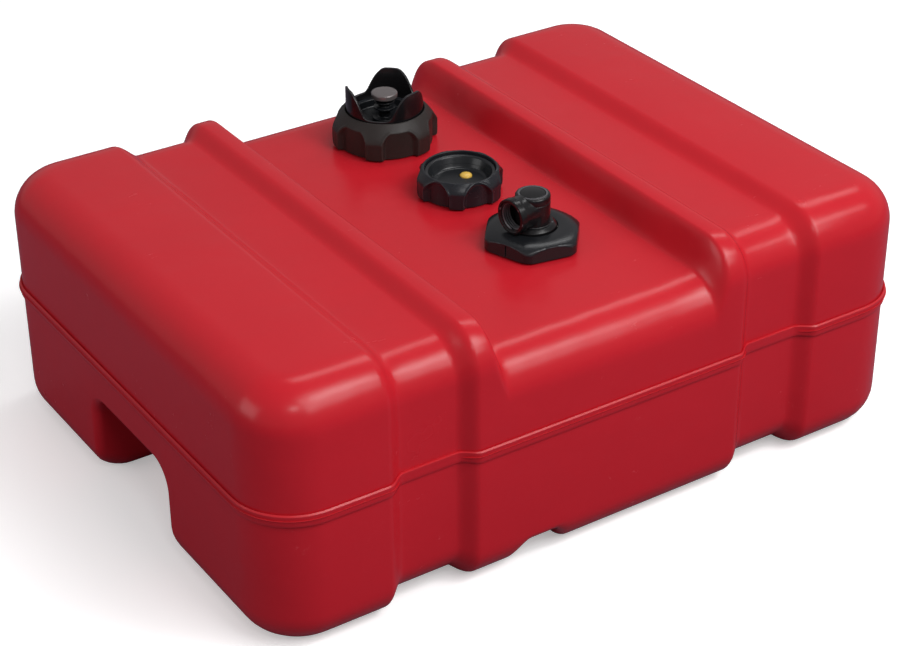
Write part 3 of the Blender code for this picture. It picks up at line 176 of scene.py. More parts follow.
def keep_in_mesh(piece):
    """Puts the piece's place into its mesh, so that its object sits at the origin."""
    only(piece)
    bpy.ops.object.transform_apply(location=True, rotation=True, scale=True)


def edit(piece, mode="VERT"):
    """Edit mode with nothing selected. Gives the mesh to look at."""
    only(piece)
    bpy.ops.object.mode_set(mode="EDIT")
    bpy.ops.mesh.select_mode(type=mode)
    bpy.ops.mesh.select_all(action="DESELECT")
    return bmesh.from_edit_mesh(piece.data)


def edit_whole(piece):
    """Edit mode with the whole piece selected."""
    edit(piece)
    bpy.ops.mesh.select_all(action="SELECT")


def done():
    """Leaves edit mode."""
    bpy.ops.object.mode_set(mode="OBJECT")


def pick(piece, chosen):
    """Selects the corners of the piece in edit mode whose place passes the test."""
    bm = bmesh.from_edit_mesh(piece.data)
    for corner in bm.verts:
        corner.select = chosen(corner.co)
    bm.select_flush_mode()
    bmesh.update_edit_mesh(piece.data, loop_triangles=False, destructive=False)


def pick_edges(piece, chosen):
    """Selects the edges of the piece in edit mode that pass the test."""
    bm = bmesh.from_edit_mesh(piece.data)
    for line in bm.edges:
        line.select_set(False)
    for line in bm.edges:
        if chosen(line):
            line.select_set(True)
    bmesh.update_edit_mesh(piece.data, loop_triangles=False, destructive=False)


def round_edges(piece, chosen, radius, segments):
    """Rounds the edges of the piece that pass the test."""
    edit(piece, "EDGE")
    pick_edges(piece, chosen)
    bpy.ops.mesh.bevel(offset=radius, segments=segments, affect="EDGES", clamp_overlap=False)
    done()


def block(name, low, high):
    """A box between two corners, its place in its mesh."""
    middle = [(a + b) / 2 for a, b in zip(low, high)]
    bpy.ops.object.select_all(action="DESELECT")
    bpy.ops.mesh.primitive_cube_add(size=1, location=middle)
    piece = bpy.context.object
    piece.name = name
    piece.scale = [b - a for a, b in zip(low, high)]
    keep_in_mesh(piece)
    return piece


def finish_with(piece, kind, **settings):
    """Adds one modifier to the piece and applies it."""
    only(piece)
    step = piece.modifiers.new(kind.lower(), kind)
    for name, value in settings.items():
        setattr(step, name, value)
    bpy.ops.object.modifier_apply(modifier=step.name)


def combine(piece, other, operation):
    """Joins or cuts the piece with another one, which is used up."""
    finish_with(piece, "BOOLEAN", operation=operation, object=other, solver="EXACT")
    bpy.data.objects.remove(other, do_unlink=True)


def settle(piece, solid, body, slot, degrees=35):
    """Shades the piece and gives it the solid that it replaces, its body and the finish of its slot."""
    only(piece)
    bpy.ops.object.shade_smooth_by_angle(angle=math.radians(degrees))
    if solid:
        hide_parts(solid)
    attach(piece, body)
    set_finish(piece, slot)


def limited(value):
    """The value, kept between 0 and 1."""
    return min(1.0, max(0.0, value))


def ease(value):
    """A step from 0 to 1 along half a wave."""
    return (1 - math.cos(math.pi * limited(value))) / 2


def softened(value):
    """A step from 0 to 1 along a curve of the third degree with level ends."""
    value = limited(value)
    return value * value * (3 - 2 * value)


def spread(start, end, steps):
    """Values from start to end in even steps."""
    return [start + (end - start) * i / steps for i in range(steps + 1)]


# The moulded tank


def channel_share(x):
    """How far the strap channels draw the section in at this place along the tank."""
    soft = CHANNEL_SOFT_OUTSIDE if abs(x) > CHANNEL_CENTRE else CHANNEL_SOFT_INSIDE
    inset = CHANNEL_FACE / 2 + soft - abs(abs(x) - CHANNEL_CENTRE)
    return ease(inset / ((CHANNEL_FACE - CHANNEL_FLOOR) / 2 + soft))


def deck_share(x):
    """How far the top is lowered to the deck at this place along the tank."""
    return ease(1 - (abs(x) - DECK_HALF_LENGTH) / DECK_STEP_RUN)


def notch_share(x):
    """How far the bottom is lifted into the notch at this place along the tank."""
    return ease((NOTCH_FACE / 2 - abs(x - NOTCH_CENTRE)) / ((NOTCH_FACE - NOTCH_FLOOR) / 2))


def cut_across(places, axis):
    """Cuts the whole mesh that is in edit mode by planes square to the axis."""
    normal = [float(i == axis) for i in range(3)]
    for place in places:
        bpy.ops.mesh.select_all(action="SELECT")
        bpy.ops.mesh.bisect(plane_co=[place * n for n in normal], plane_no=normal, threshold=TOUCHING)


def rounded_block():
    """The tank's plain block with its rounded corners and rims."""
    half_length, half_width = TANK_LENGTH / 2, TANK_WIDTH / 2
    piece = block("moulded_tank", (-half_length, -half_width, 0), (half_length, half_width, TANK_HEIGHT))

    def upright(line):
        return abs(line.verts[0].co.z - line.verts[1].co.z) > TANK_HEIGHT / 2

    round_edges(piece, upright, CORNER_RADIUS, 16)
    for height, radius, segments in ((TANK_HEIGHT, TOP_RADIUS, 14), (0.0, BOTTOM_RADIUS, 10)):

        def rim(line):
            return all(abs(corner.co.z - height) < TOUCHING for corner in line.verts)

        round_edges(piece, rim, radius, segments)
    return piece


def stations():
    """Places along the tank where its section changes."""
    places = set(spread(-OUTER_STATION, OUTER_STATION, 8))
    outside = CHANNEL_FACE / 2 + CHANNEL_SOFT_OUTSIDE
    inside = CHANNEL_FACE / 2 + CHANNEL_SOFT_INSIDE
    floor = CHANNEL_FLOOR / 2
    for side in (-1, 1):
        places.update(side * x for x in spread(CHANNEL_CENTRE + outside, CHANNEL_CENTRE + floor, 10))
        places.update(side * x for x in spread(CHANNEL_CENTRE - floor, CHANNEL_CENTRE - inside, 12))
        places.update(side * x for x in spread(DECK_HALF_LENGTH + DECK_STEP_RUN, DECK_HALF_LENGTH, 12))
        notch_near = NOTCH_CENTRE + side * NOTCH_FACE / 2
        places.update(spread(notch_near, NOTCH_CENTRE + side * NOTCH_FLOOR / 2, 9))
    kept = []
    for place in sorted(places):
        if not kept or place - kept[-1] > LEAST_STATION_GAP:
            kept.append(place)
    return kept


def at(x):
    """A test for corners that stand at one station."""
    return lambda co: abs(co.x - x) < AT_STATION


def raise_seam(piece):
    """Draws the seam's rows out of the wall."""
    for offset, proud in SEAM_PROFILE:
        if proud:
            height = SEAM_HEIGHT + offset
            pick(piece, lambda co: abs(co.z - height) < IN_LINE)
            bpy.ops.transform.shrink_fatten(value=proud)


def press_notch(piece, x):
    """Lifts the bottom of one station into the cross notch."""
    share = notch_share(x)
    if share < LEAST_SHARE:
        return
    here = at(x)
    narrowing = 1 - NOTCH_EDGE_RADIUS / BOTTOM_RADIUS
    keep = 1 - narrowing * share
    pivot = NOTCH_HEIGHT / narrowing
    arc_start = TANK_WIDTH / 2 - BOTTOM_RADIUS - IN_LINE
    pick(piece, lambda co: here(co) and co.z < IN_LINE and abs(co.y) < arc_start)
    bpy.ops.transform.translate(value=(0, 0, NOTCH_HEIGHT * share))
    for side in (-1, 1):
        pick(piece, lambda co: here(co) and co.z < BOTTOM_RADIUS + TOUCHING and side * co.y > arc_start)
        centre = (x, side * TANK_WIDTH / 2, pivot)
        bpy.ops.transform.resize(value=(1, keep, keep), center_override=centre)


def press_deck(piece, x):
    """Lowers the top of one station to the deck."""
    share = deck_share(x)
    if share < LEAST_SHARE:
        return
    here = at(x)
    start = TANK_HEIGHT - TOP_RADIUS - IN_LINE
    pick(piece, lambda co: here(co) and co.z > start)
    bpy.ops.transform.translate(value=(0, 0, -(TANK_HEIGHT - DECK_HEIGHT) * share))


def press_channel(piece, x):
    """Draws the whole section of one station in to the strap channel."""
    share = channel_share(x)
    if share < LEAST_SHARE:
        return
    here = at(x)
    centre = (x, 0, SEAM_HEIGHT)
    narrow = 1 - CHANNEL_DEPTH * share / (TANK_WIDTH / 2)
    upper = 1 - CHANNEL_DEPTH * share / (TANK_HEIGHT - SEAM_HEIGHT)
    lower = 1 - CHANNEL_DEPTH_BELOW * share / SEAM_HEIGHT
    pick(piece, here)
    bpy.ops.transform.resize(value=(1, narrow, 1), center_override=centre)
    above = SEAM_HEIGHT + SEAM_PROFILE[-1][0] + IN_LINE
    below = SEAM_HEIGHT + SEAM_PROFILE[0][0] - IN_LINE
    pick(piece, lambda co: here(co) and co.z > above)
    bpy.ops.transform.resize(value=(1, 1, upper), center_override=centre)
    pick(piece, lambda co: here(co) and co.z < below)
    bpy.ops.transform.resize(value=(1, 1, lower), center_override=centre)


def hand_hold_cutter(side):
    """The space of one hand hold: an arch joined to the space outside the tank's skin. The edge where the
    two meet becomes the rim, which is rounded more widely towards the feet."""
    end = TANK_LENGTH / 2 + HOLD_CLEAR
    back = TANK_LENGTH / 2 - HOLD_DEPTH
    half = HOLD_WIDTH / 2
    low = -0.03
    spare = 0.01
    skin_depth = 0.06
    skin_reach = 0.11
    crease = 0.5
    ring_radius = HOLD_MOUTH_RADIUS * 1.03
    ring_thickness = 0.0001

    def along(line, axis, value):
        return all(abs(v.co[axis] - value) < IN_LINE for v in line.verts)

    def inner_corner(line):
        return len(line.link_faces) == 2 and line.calc_face_angle_signed(0.0) < -crease

    def roof_edge(line):
        return along(line, 2, HOLD_HEIGHT) and abs(line.verts[0].co.x - line.verts[1].co.x) > HOLD_DEPTH / 2

    def back_edge(line):
        return along(line, 0, back) and any(v.co.z > low / 2 for v in line.verts)

    def skin_foot(line):
        return along(line, 0, end) and along(line, 2, -HOLD_CLEAR)

    arch = block("hold_arch", (back, -half, low), (end + spare, half, HOLD_HEIGHT))
    round_edges(arch, roof_edge, HOLD_ROOF_RADIUS, 12)
    round_edges(arch, back_edge, HOLD_BACK_RADIUS, 6)
    outside_low = (back - skin_depth, -skin_reach, low - spare)
    outside = block("hold_outside", outside_low, (end + 2 * spare, skin_reach, skin_reach))
    skin_low = (back - skin_depth - spare, -skin_reach - spare, -HOLD_CLEAR)
    skin = block("hold_skin", skin_low, (end, skin_reach + spare, skin_reach + spare))
    round_edges(skin, skin_foot, BOTTOM_RADIUS, 10)
    combine(outside, skin, "DIFFERENCE")
    combine(arch, outside, "UNION")
    rings = []
    for corner in edit(arch, "EDGE").verts:
        ends = [line.other_vert(corner).co for line in corner.link_edges if inner_corner(line)]
        if len(ends) == 2 and corner.co.z < BOTTOM_RADIUS - HOLD_CLEAR:
            along_rim = (ends[0] - corner.co).normalized() - (ends[1] - corner.co).normalized()
            rings.append((corner.co.copy(), along_rim.normalized()))
    done()
    round_edges(arch, inner_corner, HOLD_MOUTH_RADIUS, 8)
    edit(arch)
    for corner, along_rim in rings:
        wide = 1 + (HOLD_FOOT_RADIUS / HOLD_MOUTH_RADIUS - 1) * (1 - ease(corner.z / BOTTOM_RADIUS))

        def in_ring(co):
            away = co - corner
            return away.length < ring_radius and abs(away.dot(along_rim)) < ring_thickness

        pick(arch, in_ring)
        bpy.ops.transform.resize(value=(wide, wide, wide), center_override=corner)
    done()
    if side < 0:
        edit_whole(arch)
        bpy.ops.transform.resize(value=(-1, 1, 1), center_override=(0, 0, 0))
        bpy.ops.mesh.normals_make_consistent(inside=False)
        done()
    return arch


def open_bore(piece, place, bore):
    """Opens one neck's hole in the deck."""
    half_cut = 0.003
    bpy.ops.object.select_all(action="DESELECT")
    bpy.ops.mesh.primitive_cylinder_add(
        vertices=96, radius=bore, depth=2 * half_cut, location=(*place, DECK_HEIGHT)
    )
    cutter = bpy.context.object
    keep_in_mesh(cutter)
    combine(piece, cutter, "DIFFERENCE")
    for face in edit(piece, "FACE").faces:
        middle = face.calc_center_median()
        within = (middle.x - place[0]) ** 2 + (middle.y - place[1]) ** 2 < (bore + TOUCHING) ** 2
        face.select_set(within and DECK_HEIGHT - 2 * half_cut < middle.z < DECK_HEIGHT - half_cut / 4)
    bmesh.update_edit_mesh(piece.data)
    bpy.ops.mesh.delete(type="FACE")
    done()


def moulded_tank():
    """The tank's shell: a rounded block cut into stations, each of which is pressed into shape."""
    piece = rounded_block()
    edit(piece)
    cut_across([SEAM_HEIGHT + offset for offset, _ in SEAM_PROFILE], 2)
    cut_across(spread(-OUTER_ROW, OUTER_ROW, 12), 1)
    places = stations()
    cut_across(places, 0)
    raise_seam(piece)
    for x in places:
        press_notch(piece, x)
        press_deck(piece, x)
        press_channel(piece, x)
    done()
    for side in (-1, 1):
        combine(piece, hand_hold_cutter(side), "DIFFERENCE")
    for _, place, bore, *_ in NECKS:
        open_bore(piece, place, bore)
    finish_with(piece, "SOLIDIFY", thickness=TANK_WALL, offset=-1)
    settle(piece, "tank_shell", "tank", "red_plastic", 40)


moulded_tank()


# Pieces turned, fluted, wound and cut round an upright axis


def rounded(points, steps=5):
    """An outline of (radius, height) points. A third number rounds that corner by an arc of that radius."""
    outline = []
    for i, point in enumerate(points):
        corner = Vector(point[:2])
        if len(point) == 2:
            outline.append(corner)
            continue
        before = (Vector(points[i - 1][:2]) - corner).normalized()
        after = (Vector(points[(i + 1) % len(points)][:2]) - corner).normalized()
        half = before.angle(after) / 2
        centre = corner + (before + after).normalized() * point[2] / math.sin(half)
        start = corner + before * point[2] / math.tan(half) - centre
        end = corner + after * point[2] / math.tan(half) - centre
        sweep = start.angle(end)
        for k in range(steps + 1):
            near = math.sin(sweep * (1 - k / steps)) / math.sin(sweep)
            far = math.sin(sweep * k / steps) / math.sin(sweep)
            outline.append(centre + start * near + end * far)
    return outline


def turned_piece(name, axis, outline, steps=96, ring=False):
    """Draws an outline point by point and spins it about the axis. A ring's outline closes on itself."""
    if ring:
        outline = list(outline) + [outline[0]]
    bpy.ops.object.select_all(action="DESELECT")
    start = (axis[0] + outline[0][0], axis[1], outline[0][1])
    bpy.ops.mesh.primitive_plane_add(size=START_SIZE, location=start)
    piece = bpy.context.object
    piece.name = name
    keep_in_mesh(piece)
    edit_whole(piece)
    bpy.ops.mesh.merge(type="CENTER")
    for near, far in zip(outline, outline[1:]):
        step = (far[0] - near[0], 0, far[1] - near[1])
        bpy.ops.mesh.extrude_vertices_move(TRANSFORM_OT_translate={"value": step})
    bpy.ops.mesh.select_all(action="SELECT")
    bpy.ops.mesh.remove_doubles(threshold=TOUCHING)
    bpy.ops.mesh.spin(steps=steps, angle=math.tau, center=(*axis, 0), axis=(0, 0, 1))
    bpy.ops.mesh.select_all(action="SELECT")
    bpy.ops.mesh.remove_doubles(threshold=TOUCHING)
    bpy.ops.mesh.normals_make_consistent(inside=False)
    done()
    return piece


def turn_about(piece, axis, degrees):
    """Turns the whole piece about an upright axis."""
    edit_whole(piece)
    bpy.ops.transform.rotate(
        value=-math.radians(degrees), orient_axis="Z", orient_type="GLOBAL", center_override=(*axis, 0)
    )
    done()


def places_round(piece, axis, sectors, wanted):
    """Groups the corners of a turned piece that stand alike: by their angle from the middle of their
    sector, their radius and their height."""
    sector = math.tau / sectors
    groups = {}
    for corner in piece.data.vertices:
        x, y, z = corner.co.x - axis[0], corner.co.y - axis[1], corner.co.z
        radius = math.hypot(x, y)
        if wanted(radius, z):
            away = abs((math.atan2(y, x) + sector / 2) % sector - sector / 2)
            key = (round(away, 4), round(radius, 6), round(z, 6))
            groups.setdefault(key, []).append(corner.index)
    return groups


def pick_numbers(piece, numbers):
    """Selects the corners of the piece in edit mode that have these numbers."""
    bm = bmesh.from_edit_mesh(piece.data)
    bm.verts.ensure_lookup_table()
    bpy.ops.mesh.select_all(action="DESELECT")
    for number in numbers:
        bm.verts[number].select = True
    bm.select_flush_mode()
    bmesh.update_edit_mesh(piece.data, loop_triangles=False, destructive=False)


def draw_in(piece, axis, sectors, wanted, reach):
    """Brings each group of corners of a turned piece to the radius that reach gives for its place."""
    groups = places_round(piece, axis, sectors, wanted)
    edit(piece)
    for (away, radius, height), numbers in groups.items():
        target = reach(away, radius, height)
        if abs(target - radius) > TOUCHING:
            pick_numbers(piece, numbers)
            size = target / radius
            bpy.ops.transform.resize(value=(size, size, 1), center_override=(*axis, height))
    done()


def lift_tops(piece, axis, sectors, wanted, rise):
    """Raises each group of corners by what rise gives for its angle."""
    groups = places_round(piece, axis, sectors, wanted)
    edit(piece)
    for (away, _, _), numbers in groups.items():
        lift = rise(away)
        if lift > TOUCHING:
            pick_numbers(piece, numbers)
            bpy.ops.transform.translate(value=(0, 0, lift))
    done()


def wind_up(piece, turns, climb, steps, sides):
    """Winds a closed outline up round the upright axis at the origin and closes its ends."""
    finish_with(
        piece,
        "SCREW",
        angle=math.tau * turns,
        screw_offset=climb,
        steps=steps,
        render_steps=steps,
        use_merge_vertices=False,
    )
    edit_whole(piece)
    bpy.ops.mesh.fill_holes(sides=sides)
    done()


def set_on_axis(piece, axis):
    """Turns the faces of a wound piece outwards and moves it from the origin to its axis."""
    edit_whole(piece)
    bpy.ops.mesh.normals_make_consistent(inside=False)
    if bmesh.from_edit_mesh(piece.data).calc_volume(signed=True) < 0:
        bpy.ops.mesh.flip_normals()
    bpy.ops.transform.translate(value=(*axis, 0))
    done()


def threaded(name, axis, root, crest, low, pitch, turns):
    """A thread's ridge: its section wound up the axis and faded into the wall at both ends."""
    bpy.ops.object.select_all(action="DESELECT")
    bpy.ops.mesh.primitive_plane_add(size=1)
    ridge = bpy.context.object
    ridge.name = name
    middle = (crest + root) / 2
    origin = (0, 0, 0)
    edit_whole(ridge)
    bpy.ops.transform.rotate(value=math.pi / 2, orient_axis="X", orient_type="GLOBAL", center_override=origin)
    bpy.ops.transform.resize(value=(abs(crest - root), 1, pitch * THREAD_FOOT_SHARE), center_override=origin)
    bpy.ops.transform.translate(value=(middle, 0, low))
    outward = 1 if crest > root else -1
    pick(ridge, lambda co: outward * (co.x - middle) > 0)
    bpy.ops.transform.resize(value=(1, 1, THREAD_CREST_SHARE), center_override=(0, 0, low))
    bpy.ops.mesh.select_all(action="SELECT")
    bpy.ops.mesh.delete(type="ONLY_FACE")
    done()
    wind_up(ridge, turns, pitch * turns, int(STEPS_PER_TURN * turns), 4)
    edit(ridge)
    for end in (0.0, turns):
        turn = math.tau * end
        spot = Vector((crest * math.cos(turn), crest * math.sin(turn), low + pitch * end))
        pick(ridge, lambda co: (co - spot).length < pitch * THREAD_END_SHARE)
        bpy.ops.transform.resize(value=(root / crest, root / crest, 1), center_override=origin)
    done()
    set_on_axis(ridge, axis)
    return ridge


# Necks on the deck


def neck(name, place, bore, outer, top, pitch, thread_height):
    """A neck with a flared foot, and its thread."""
    foot = DECK_HEIGHT - NECK_SINK
    outline = [(bore, foot), (outer + NECK_FOOT_RUN, foot), (outer, DECK_HEIGHT + NECK_FOOT_RISE, 0.001)]
    outline += [(outer, top, 0.0008), (bore, top, 0.0008)]
    settle(turned_piece(f"{name}_neck", place, rounded(outline), 128, True), None, "tank", "red_plastic")
    root, crest = outer - THREAD_SINK, outer + thread_height
    low = top - pitch * NECK_THREAD_START
    ridge = threaded(f"{name}_neck_thread", place, root, crest, low, pitch, NECK_THREAD_TURNS)
    settle(ridge, None, "tank", "red_plastic")


for neck_sizes in NECKS:
    neck(*neck_sizes)


# Filler cap and gauge collar


def grip_ring(name, axis, outer, inner, opening, shoulder, top, ledge, run, flute, width, arch, turn):
    """A grip ring: six arched flutes, each width degrees wide and with a lip round it, a sloping shoulder
    and a rolled rim. The ring is turned by turn degrees."""
    low = DECK_HEIGHT + SKIRT_GAP
    arch_low, arch_high = arch
    plain_foot, foot_run = 0.001, 0.002
    lip_height, lip_away, lip_run = 0.0008, 0.0010, 0.0012
    flute_run = 0.0016
    inside_clear = 0.0005
    slope_power = 1.4
    wall = [(inner, low, 0.0004), (outer, low, 0.0008)]
    wall += [(outer, z) for z in spread(low + foot_run, arch_low, 4)]
    for z in spread(arch_low, top, 26)[1:-1]:
        share = max(0.0, (z - shoulder) / (top - shoulder))
        wall.append((outer - run * share**slope_power, z))
    wall += [(outer - run, top, 0.0008), (opening, top, 0.0007), (opening, ledge, 0.0003), (inner, ledge)]
    piece = turned_piece(name, axis, rounded(wall, 4), FLUTES * 36, True)
    half_width = outer * math.radians(width / 2)
    height = arch_high - arch_low

    def fluted_part(radius, z):
        return radius > inner + inside_clear and z < arch_high + foot_run

    def flute_reach(away, radius, z):
        across, along = away * outer / half_width, max(0.0, z - arch_low) / height
        outside = math.hypot(across, along)
        slope = math.hypot(across / half_width, along / height) / max(outside, TOUCHING)
        inset = (1 - outside) / max(slope, TOUCHING)
        lip = lip_height * softened(1 - abs(inset + lip_away) / lip_run)
        lip *= softened((z - low - plain_foot) / foot_run)
        return radius + lip + (min(radius, outer - flute) - radius) * softened(inset / flute_run)

    draw_in(piece, axis, FLUTES, fluted_part, flute_reach)
    turn_about(piece, axis, turn)
    finish_with(piece, "SUBSURF", levels=1, render_levels=1)
    return piece


cap = grip_ring(
    "fluted_cap",
    FILLER,
    outer=0.0463,
    inner=0.0402,
    opening=0.0345,
    shoulder=0.2114,
    top=0.2270,
    ledge=0.2224,
    run=0.0104,
    flute=0.0048,
    width=40,
    arch=(0.2100, 0.2226),
    turn=16,
)
settle(cap, "filler_cap_shell", "filler_cap", "warm_black_plastic", 50)
collar = grip_ring(
    "fluted_collar",
    GAUGE,
    outer=0.0371,
    inner=0.0313,
    opening=0.0301,
    shoulder=0.2098,
    top=0.2182,
    ledge=0.2132,
    run=0.0054,
    flute=0.0044,
    width=40,
    arch=(0.2040, 0.2172),
    turn=22,
)
settle(collar, "gauge_collar", "gauge_ring", "blue_black_plastic", 50)

# The guard's edge: degrees from the middle of a petal, and its height as a share of the petal's
PETAL = ((0, 1.0), (12, 1.0), (18, 0.9), (26, 0.68), (35, 0.28), (40, 0.03), (50, 0.0), (60, 0.0))
PETAL_BLUR = (-3, -1.5, 0, 1.5, 3)


def petal_share(degrees):
    """How high the guard's edge stands this far from the middle of a petal, a little blurred."""
    total = 0.0
    last = PETAL[-1][0] - 0.1
    for shift in PETAL_BLUR:
        place = min(last, abs(degrees + shift))
        for (near, high), (far, low) in zip(PETAL, PETAL[1:]):
            if near <= place < far:
                total += high + (low - high) * (place - near) / (far - near)
    return total / len(PETAL_BLUR)


def guard_crown():
    """The guard of three petals that stands on the inner cap round the vent knob."""
    inner, outer = 0.0317, 0.0339
    low, waist, valley, tip = 0.2224, 0.2252, 0.2281, 0.2496
    turn = 47
    edge_softness, edge_angle = 0.0005, math.radians(60)
    outline = [(inner, low), (outer, low), (outer, waist), (outer, valley), (inner, valley), (inner, waist)]
    piece = turned_piece("guard_crown", FILLER, outline, PETALS * 64, True)

    def petal_rise(away):
        return (tip - valley) * petal_share(math.degrees(away))

    lift_tops(piece, FILLER, PETALS, lambda radius, z: z > valley - TOUCHING, petal_rise)
    turn_about(piece, FILLER, turn)
    finish_with(
        piece, "BEVEL", width=edge_softness, segments=2, limit_method="ANGLE", angle_limit=edge_angle
    )
    settle(piece, "filler_guard_crown", "filler_cap", "glossy_black_plastic", 40)


def vented_inner_cap():
    """The cup inside the filler cap whose floor carries the vent."""
    hole, inside, outside, flange = 0.0033, 0.028, 0.0305, 0.0399
    low, floor_top, flange_low, top = 0.212, 0.215, 0.2196, 0.2221
    outline = [(hole, low), (outside, low, 0.001), (outside, flange_low), (flange, flange_low), (flange, top)]
    outline += [(inside, top, 0.0008), (inside, floor_top, 0.0015), (hole, floor_top, 0.0004)]
    piece = turned_piece("vented_inner_cap", FILLER, rounded(outline), 96, True)
    settle(piece, "filler_inner_cap", "filler_cap", "black_plastic")


def vent_screw_stem():
    """The vent screw: a stem, a flange and a neck with two collars."""
    stem, flange, neck, waist, tip = 0.0029, 0.011, 0.0052, 0.0056, 0.0050
    lower_collar, upper_collar = 0.0096, 0.0088
    low, flange_low, flange_top, top = 0.2097, 0.217, 0.219, 0.2367
    outline = [(0, low), (stem, low, 0.0004), (stem, flange_low), (flange, flange_low, 0.0003)]
    outline += [(flange, flange_top, 0.0006), (neck, flange_top, 0.0008), (neck, 0.2262, 0.0006)]
    outline += [(lower_collar, 0.2268, 0.0004), (lower_collar, 0.2284, 0.0006), (waist, 0.2288, 0.0006)]
    outline += [(waist, 0.2318, 0.0004), (upper_collar, 0.2324, 0.0004), (upper_collar, 0.2336, 0.0005)]
    outline += [(tip, 0.2340, 0.0006), (tip, top), (0, top)]
    piece = turned_piece("vent_screw_stem", FILLER, rounded(outline), 64)
    settle(piece, "vent_screw", "vent", "black_plastic")


def vent_thumb_knob():
    """The round knob that turns the vent screw, with a faintly domed top."""
    radius, crown = 0.0115, 0.0092
    low, edge, crown_edge, top = 0.2369, 0.2415, 0.2419, 0.2422
    outline = [(0, low), (radius, low, 0.0009), (radius, edge, 0.0013), (crown, crown_edge, 0.001), (0, top)]
    piece = turned_piece("vent_thumb_knob", FILLER, rounded(outline), 96)
    settle(piece, "vent_knob", "vent", "grey_plastic", 50)


guard_crown()
vented_inner_cap()
vent_screw_stem()
vent_thumb_knob()


# Gauge head and window


def gauge_dish():
    """The head that the gauge's collar holds down: a dish with a hole for the window."""
    bowl, flange, rim, lip, floor = 0.0245, 0.029, 0.0268, 0.0298, 0.0228
    under, flange_low, flange_top, lip_low, lip_top = 0.2028, 0.2096, 0.2118, 0.2134, 0.2158
    inside_edge, floor_top = 0.2148, 0.2053
    outline = [(0, under), (bowl, under, 0.0008), (bowl, flange_low), (flange, flange_low)]
    outline += [(flange, flange_top), (rim, flange_top), (rim, lip_low, 0.0004), (lip, lip_low, 0.0003)]
    outline += [(lip, lip_top, 0.0007), (rim, inside_edge, 0.002), (floor, floor_top, 0.003), (0, floor_top)]
    piece = turned_piece("gauge_dish", GAUGE, rounded(outline), 128)
    hole, seat, low, seat_low, high = 0.0045, 0.0059, 0.198, 0.2041, 0.208
    outline = ((0, low), (hole, low), (hole, seat_low), (seat, seat_low), (seat, high), (0, high))
    combine(piece, turned_piece("window_cutter", WINDOW, outline, 64), "DIFFERENCE")
    pivot, pivot_top = 0.0021, 0.20405
    outline = ((0, low), (pivot, low), (pivot, pivot_top), (0, pivot_top))
    combine(piece, turned_piece("pivot_cutter", GAUGE, outline, 32), "DIFFERENCE")
    settle(piece, "gauge_head", "tank", "black_plastic")


def gauge_window():
    """The domed window, hollow underneath, in its seat in the dish."""
    radius, hollow, foot, edge = 0.0053, 0.0045, 0.2044, 0.2052
    rise, hollow_rise = 0.0026, 0.0017
    quarter = spread(0, math.pi / 2, 10)
    outline = [(0, edge + hollow_rise)]
    outline += [(hollow * math.sin(t), edge + hollow_rise * math.cos(t)) for t in quarter[1:]]
    outline += [(hollow, foot), (radius, foot, 0.0002)]
    outline += [(radius * math.cos(t), edge + rise * math.sin(t)) for t in quarter[:-1]]
    outline += [(0, edge + rise)]
    piece = turned_piece("gauge_window", WINDOW, rounded(outline), 64)
    settle(piece, "gauge_lens", "tank", "clear_lens", 60)


gauge_dish()
gauge_window()


# Pickup collar and elbow


def six_sided_collar():
    """The collar: six flat sides with soft corners, a domed crown and a slot in one side."""
    apothem, corner, inner, opening = 0.0371, 0.0412, 0.0291, 0.0205
    crown_edge = 0.0262
    low, wall_low, chamfer, top, ledge = DECK_HEIGHT + SKIRT_GAP, 0.1985, 0.2043, 0.2105, 0.2075
    crown_power = 0.65
    mixing = 0.0009
    inside_clear, top_clear = 0.0015, 0.0002
    slot_near, slot_far, slot_half_width, slot_foot, slot_top = 0.0352, 0.0400, 0.0006, 0.19, 0.2068
    turn, slot_turn = -40, -160
    outline = [(inner, low, 0.0004), (corner, low, 0.0006)]
    outline += [(corner, z) for z in spread(wall_low, chamfer, 4)]
    for share in spread(0, 1, 12)[1:]:
        rise = math.sin(share * math.pi / 2) ** crown_power
        outline.append((corner + (crown_edge - corner) * share, chamfer + (top - chamfer) * rise))
    outline += [(opening, top, 0.0008), (opening, ledge, 0.0004), (inner, ledge)]
    piece = turned_piece("six_sided_collar", PICKUP, rounded(outline), FLAT_SIDES * 32, True)

    def flat_part(radius, z):
        return radius > inner + inside_clear and z < top - top_clear

    def flat_reach(away, radius, _):
        flat = apothem / math.cos(away)
        mixed = limited(0.5 + (flat - radius) / (2 * mixing))
        return flat + (radius - flat) * mixed - mixing * mixed * (1 - mixed)

    draw_in(piece, PICKUP, FLAT_SIDES, flat_part, flat_reach)
    slot_low = (PICKUP[0] + slot_near, PICKUP[1] - slot_half_width, slot_foot)
    slot_high = (PICKUP[0] + slot_far, PICKUP[1] + slot_half_width, slot_top)
    slot = block("collar_slot", slot_low, slot_high)
    turn_about(piece, PICKUP, turn)
    turn_about(slot, PICKUP, slot_turn)
    combine(piece, slot, "DIFFERENCE")
    settle(piece, "pickup_collar", "pickup_ring", "black_plastic", 40)


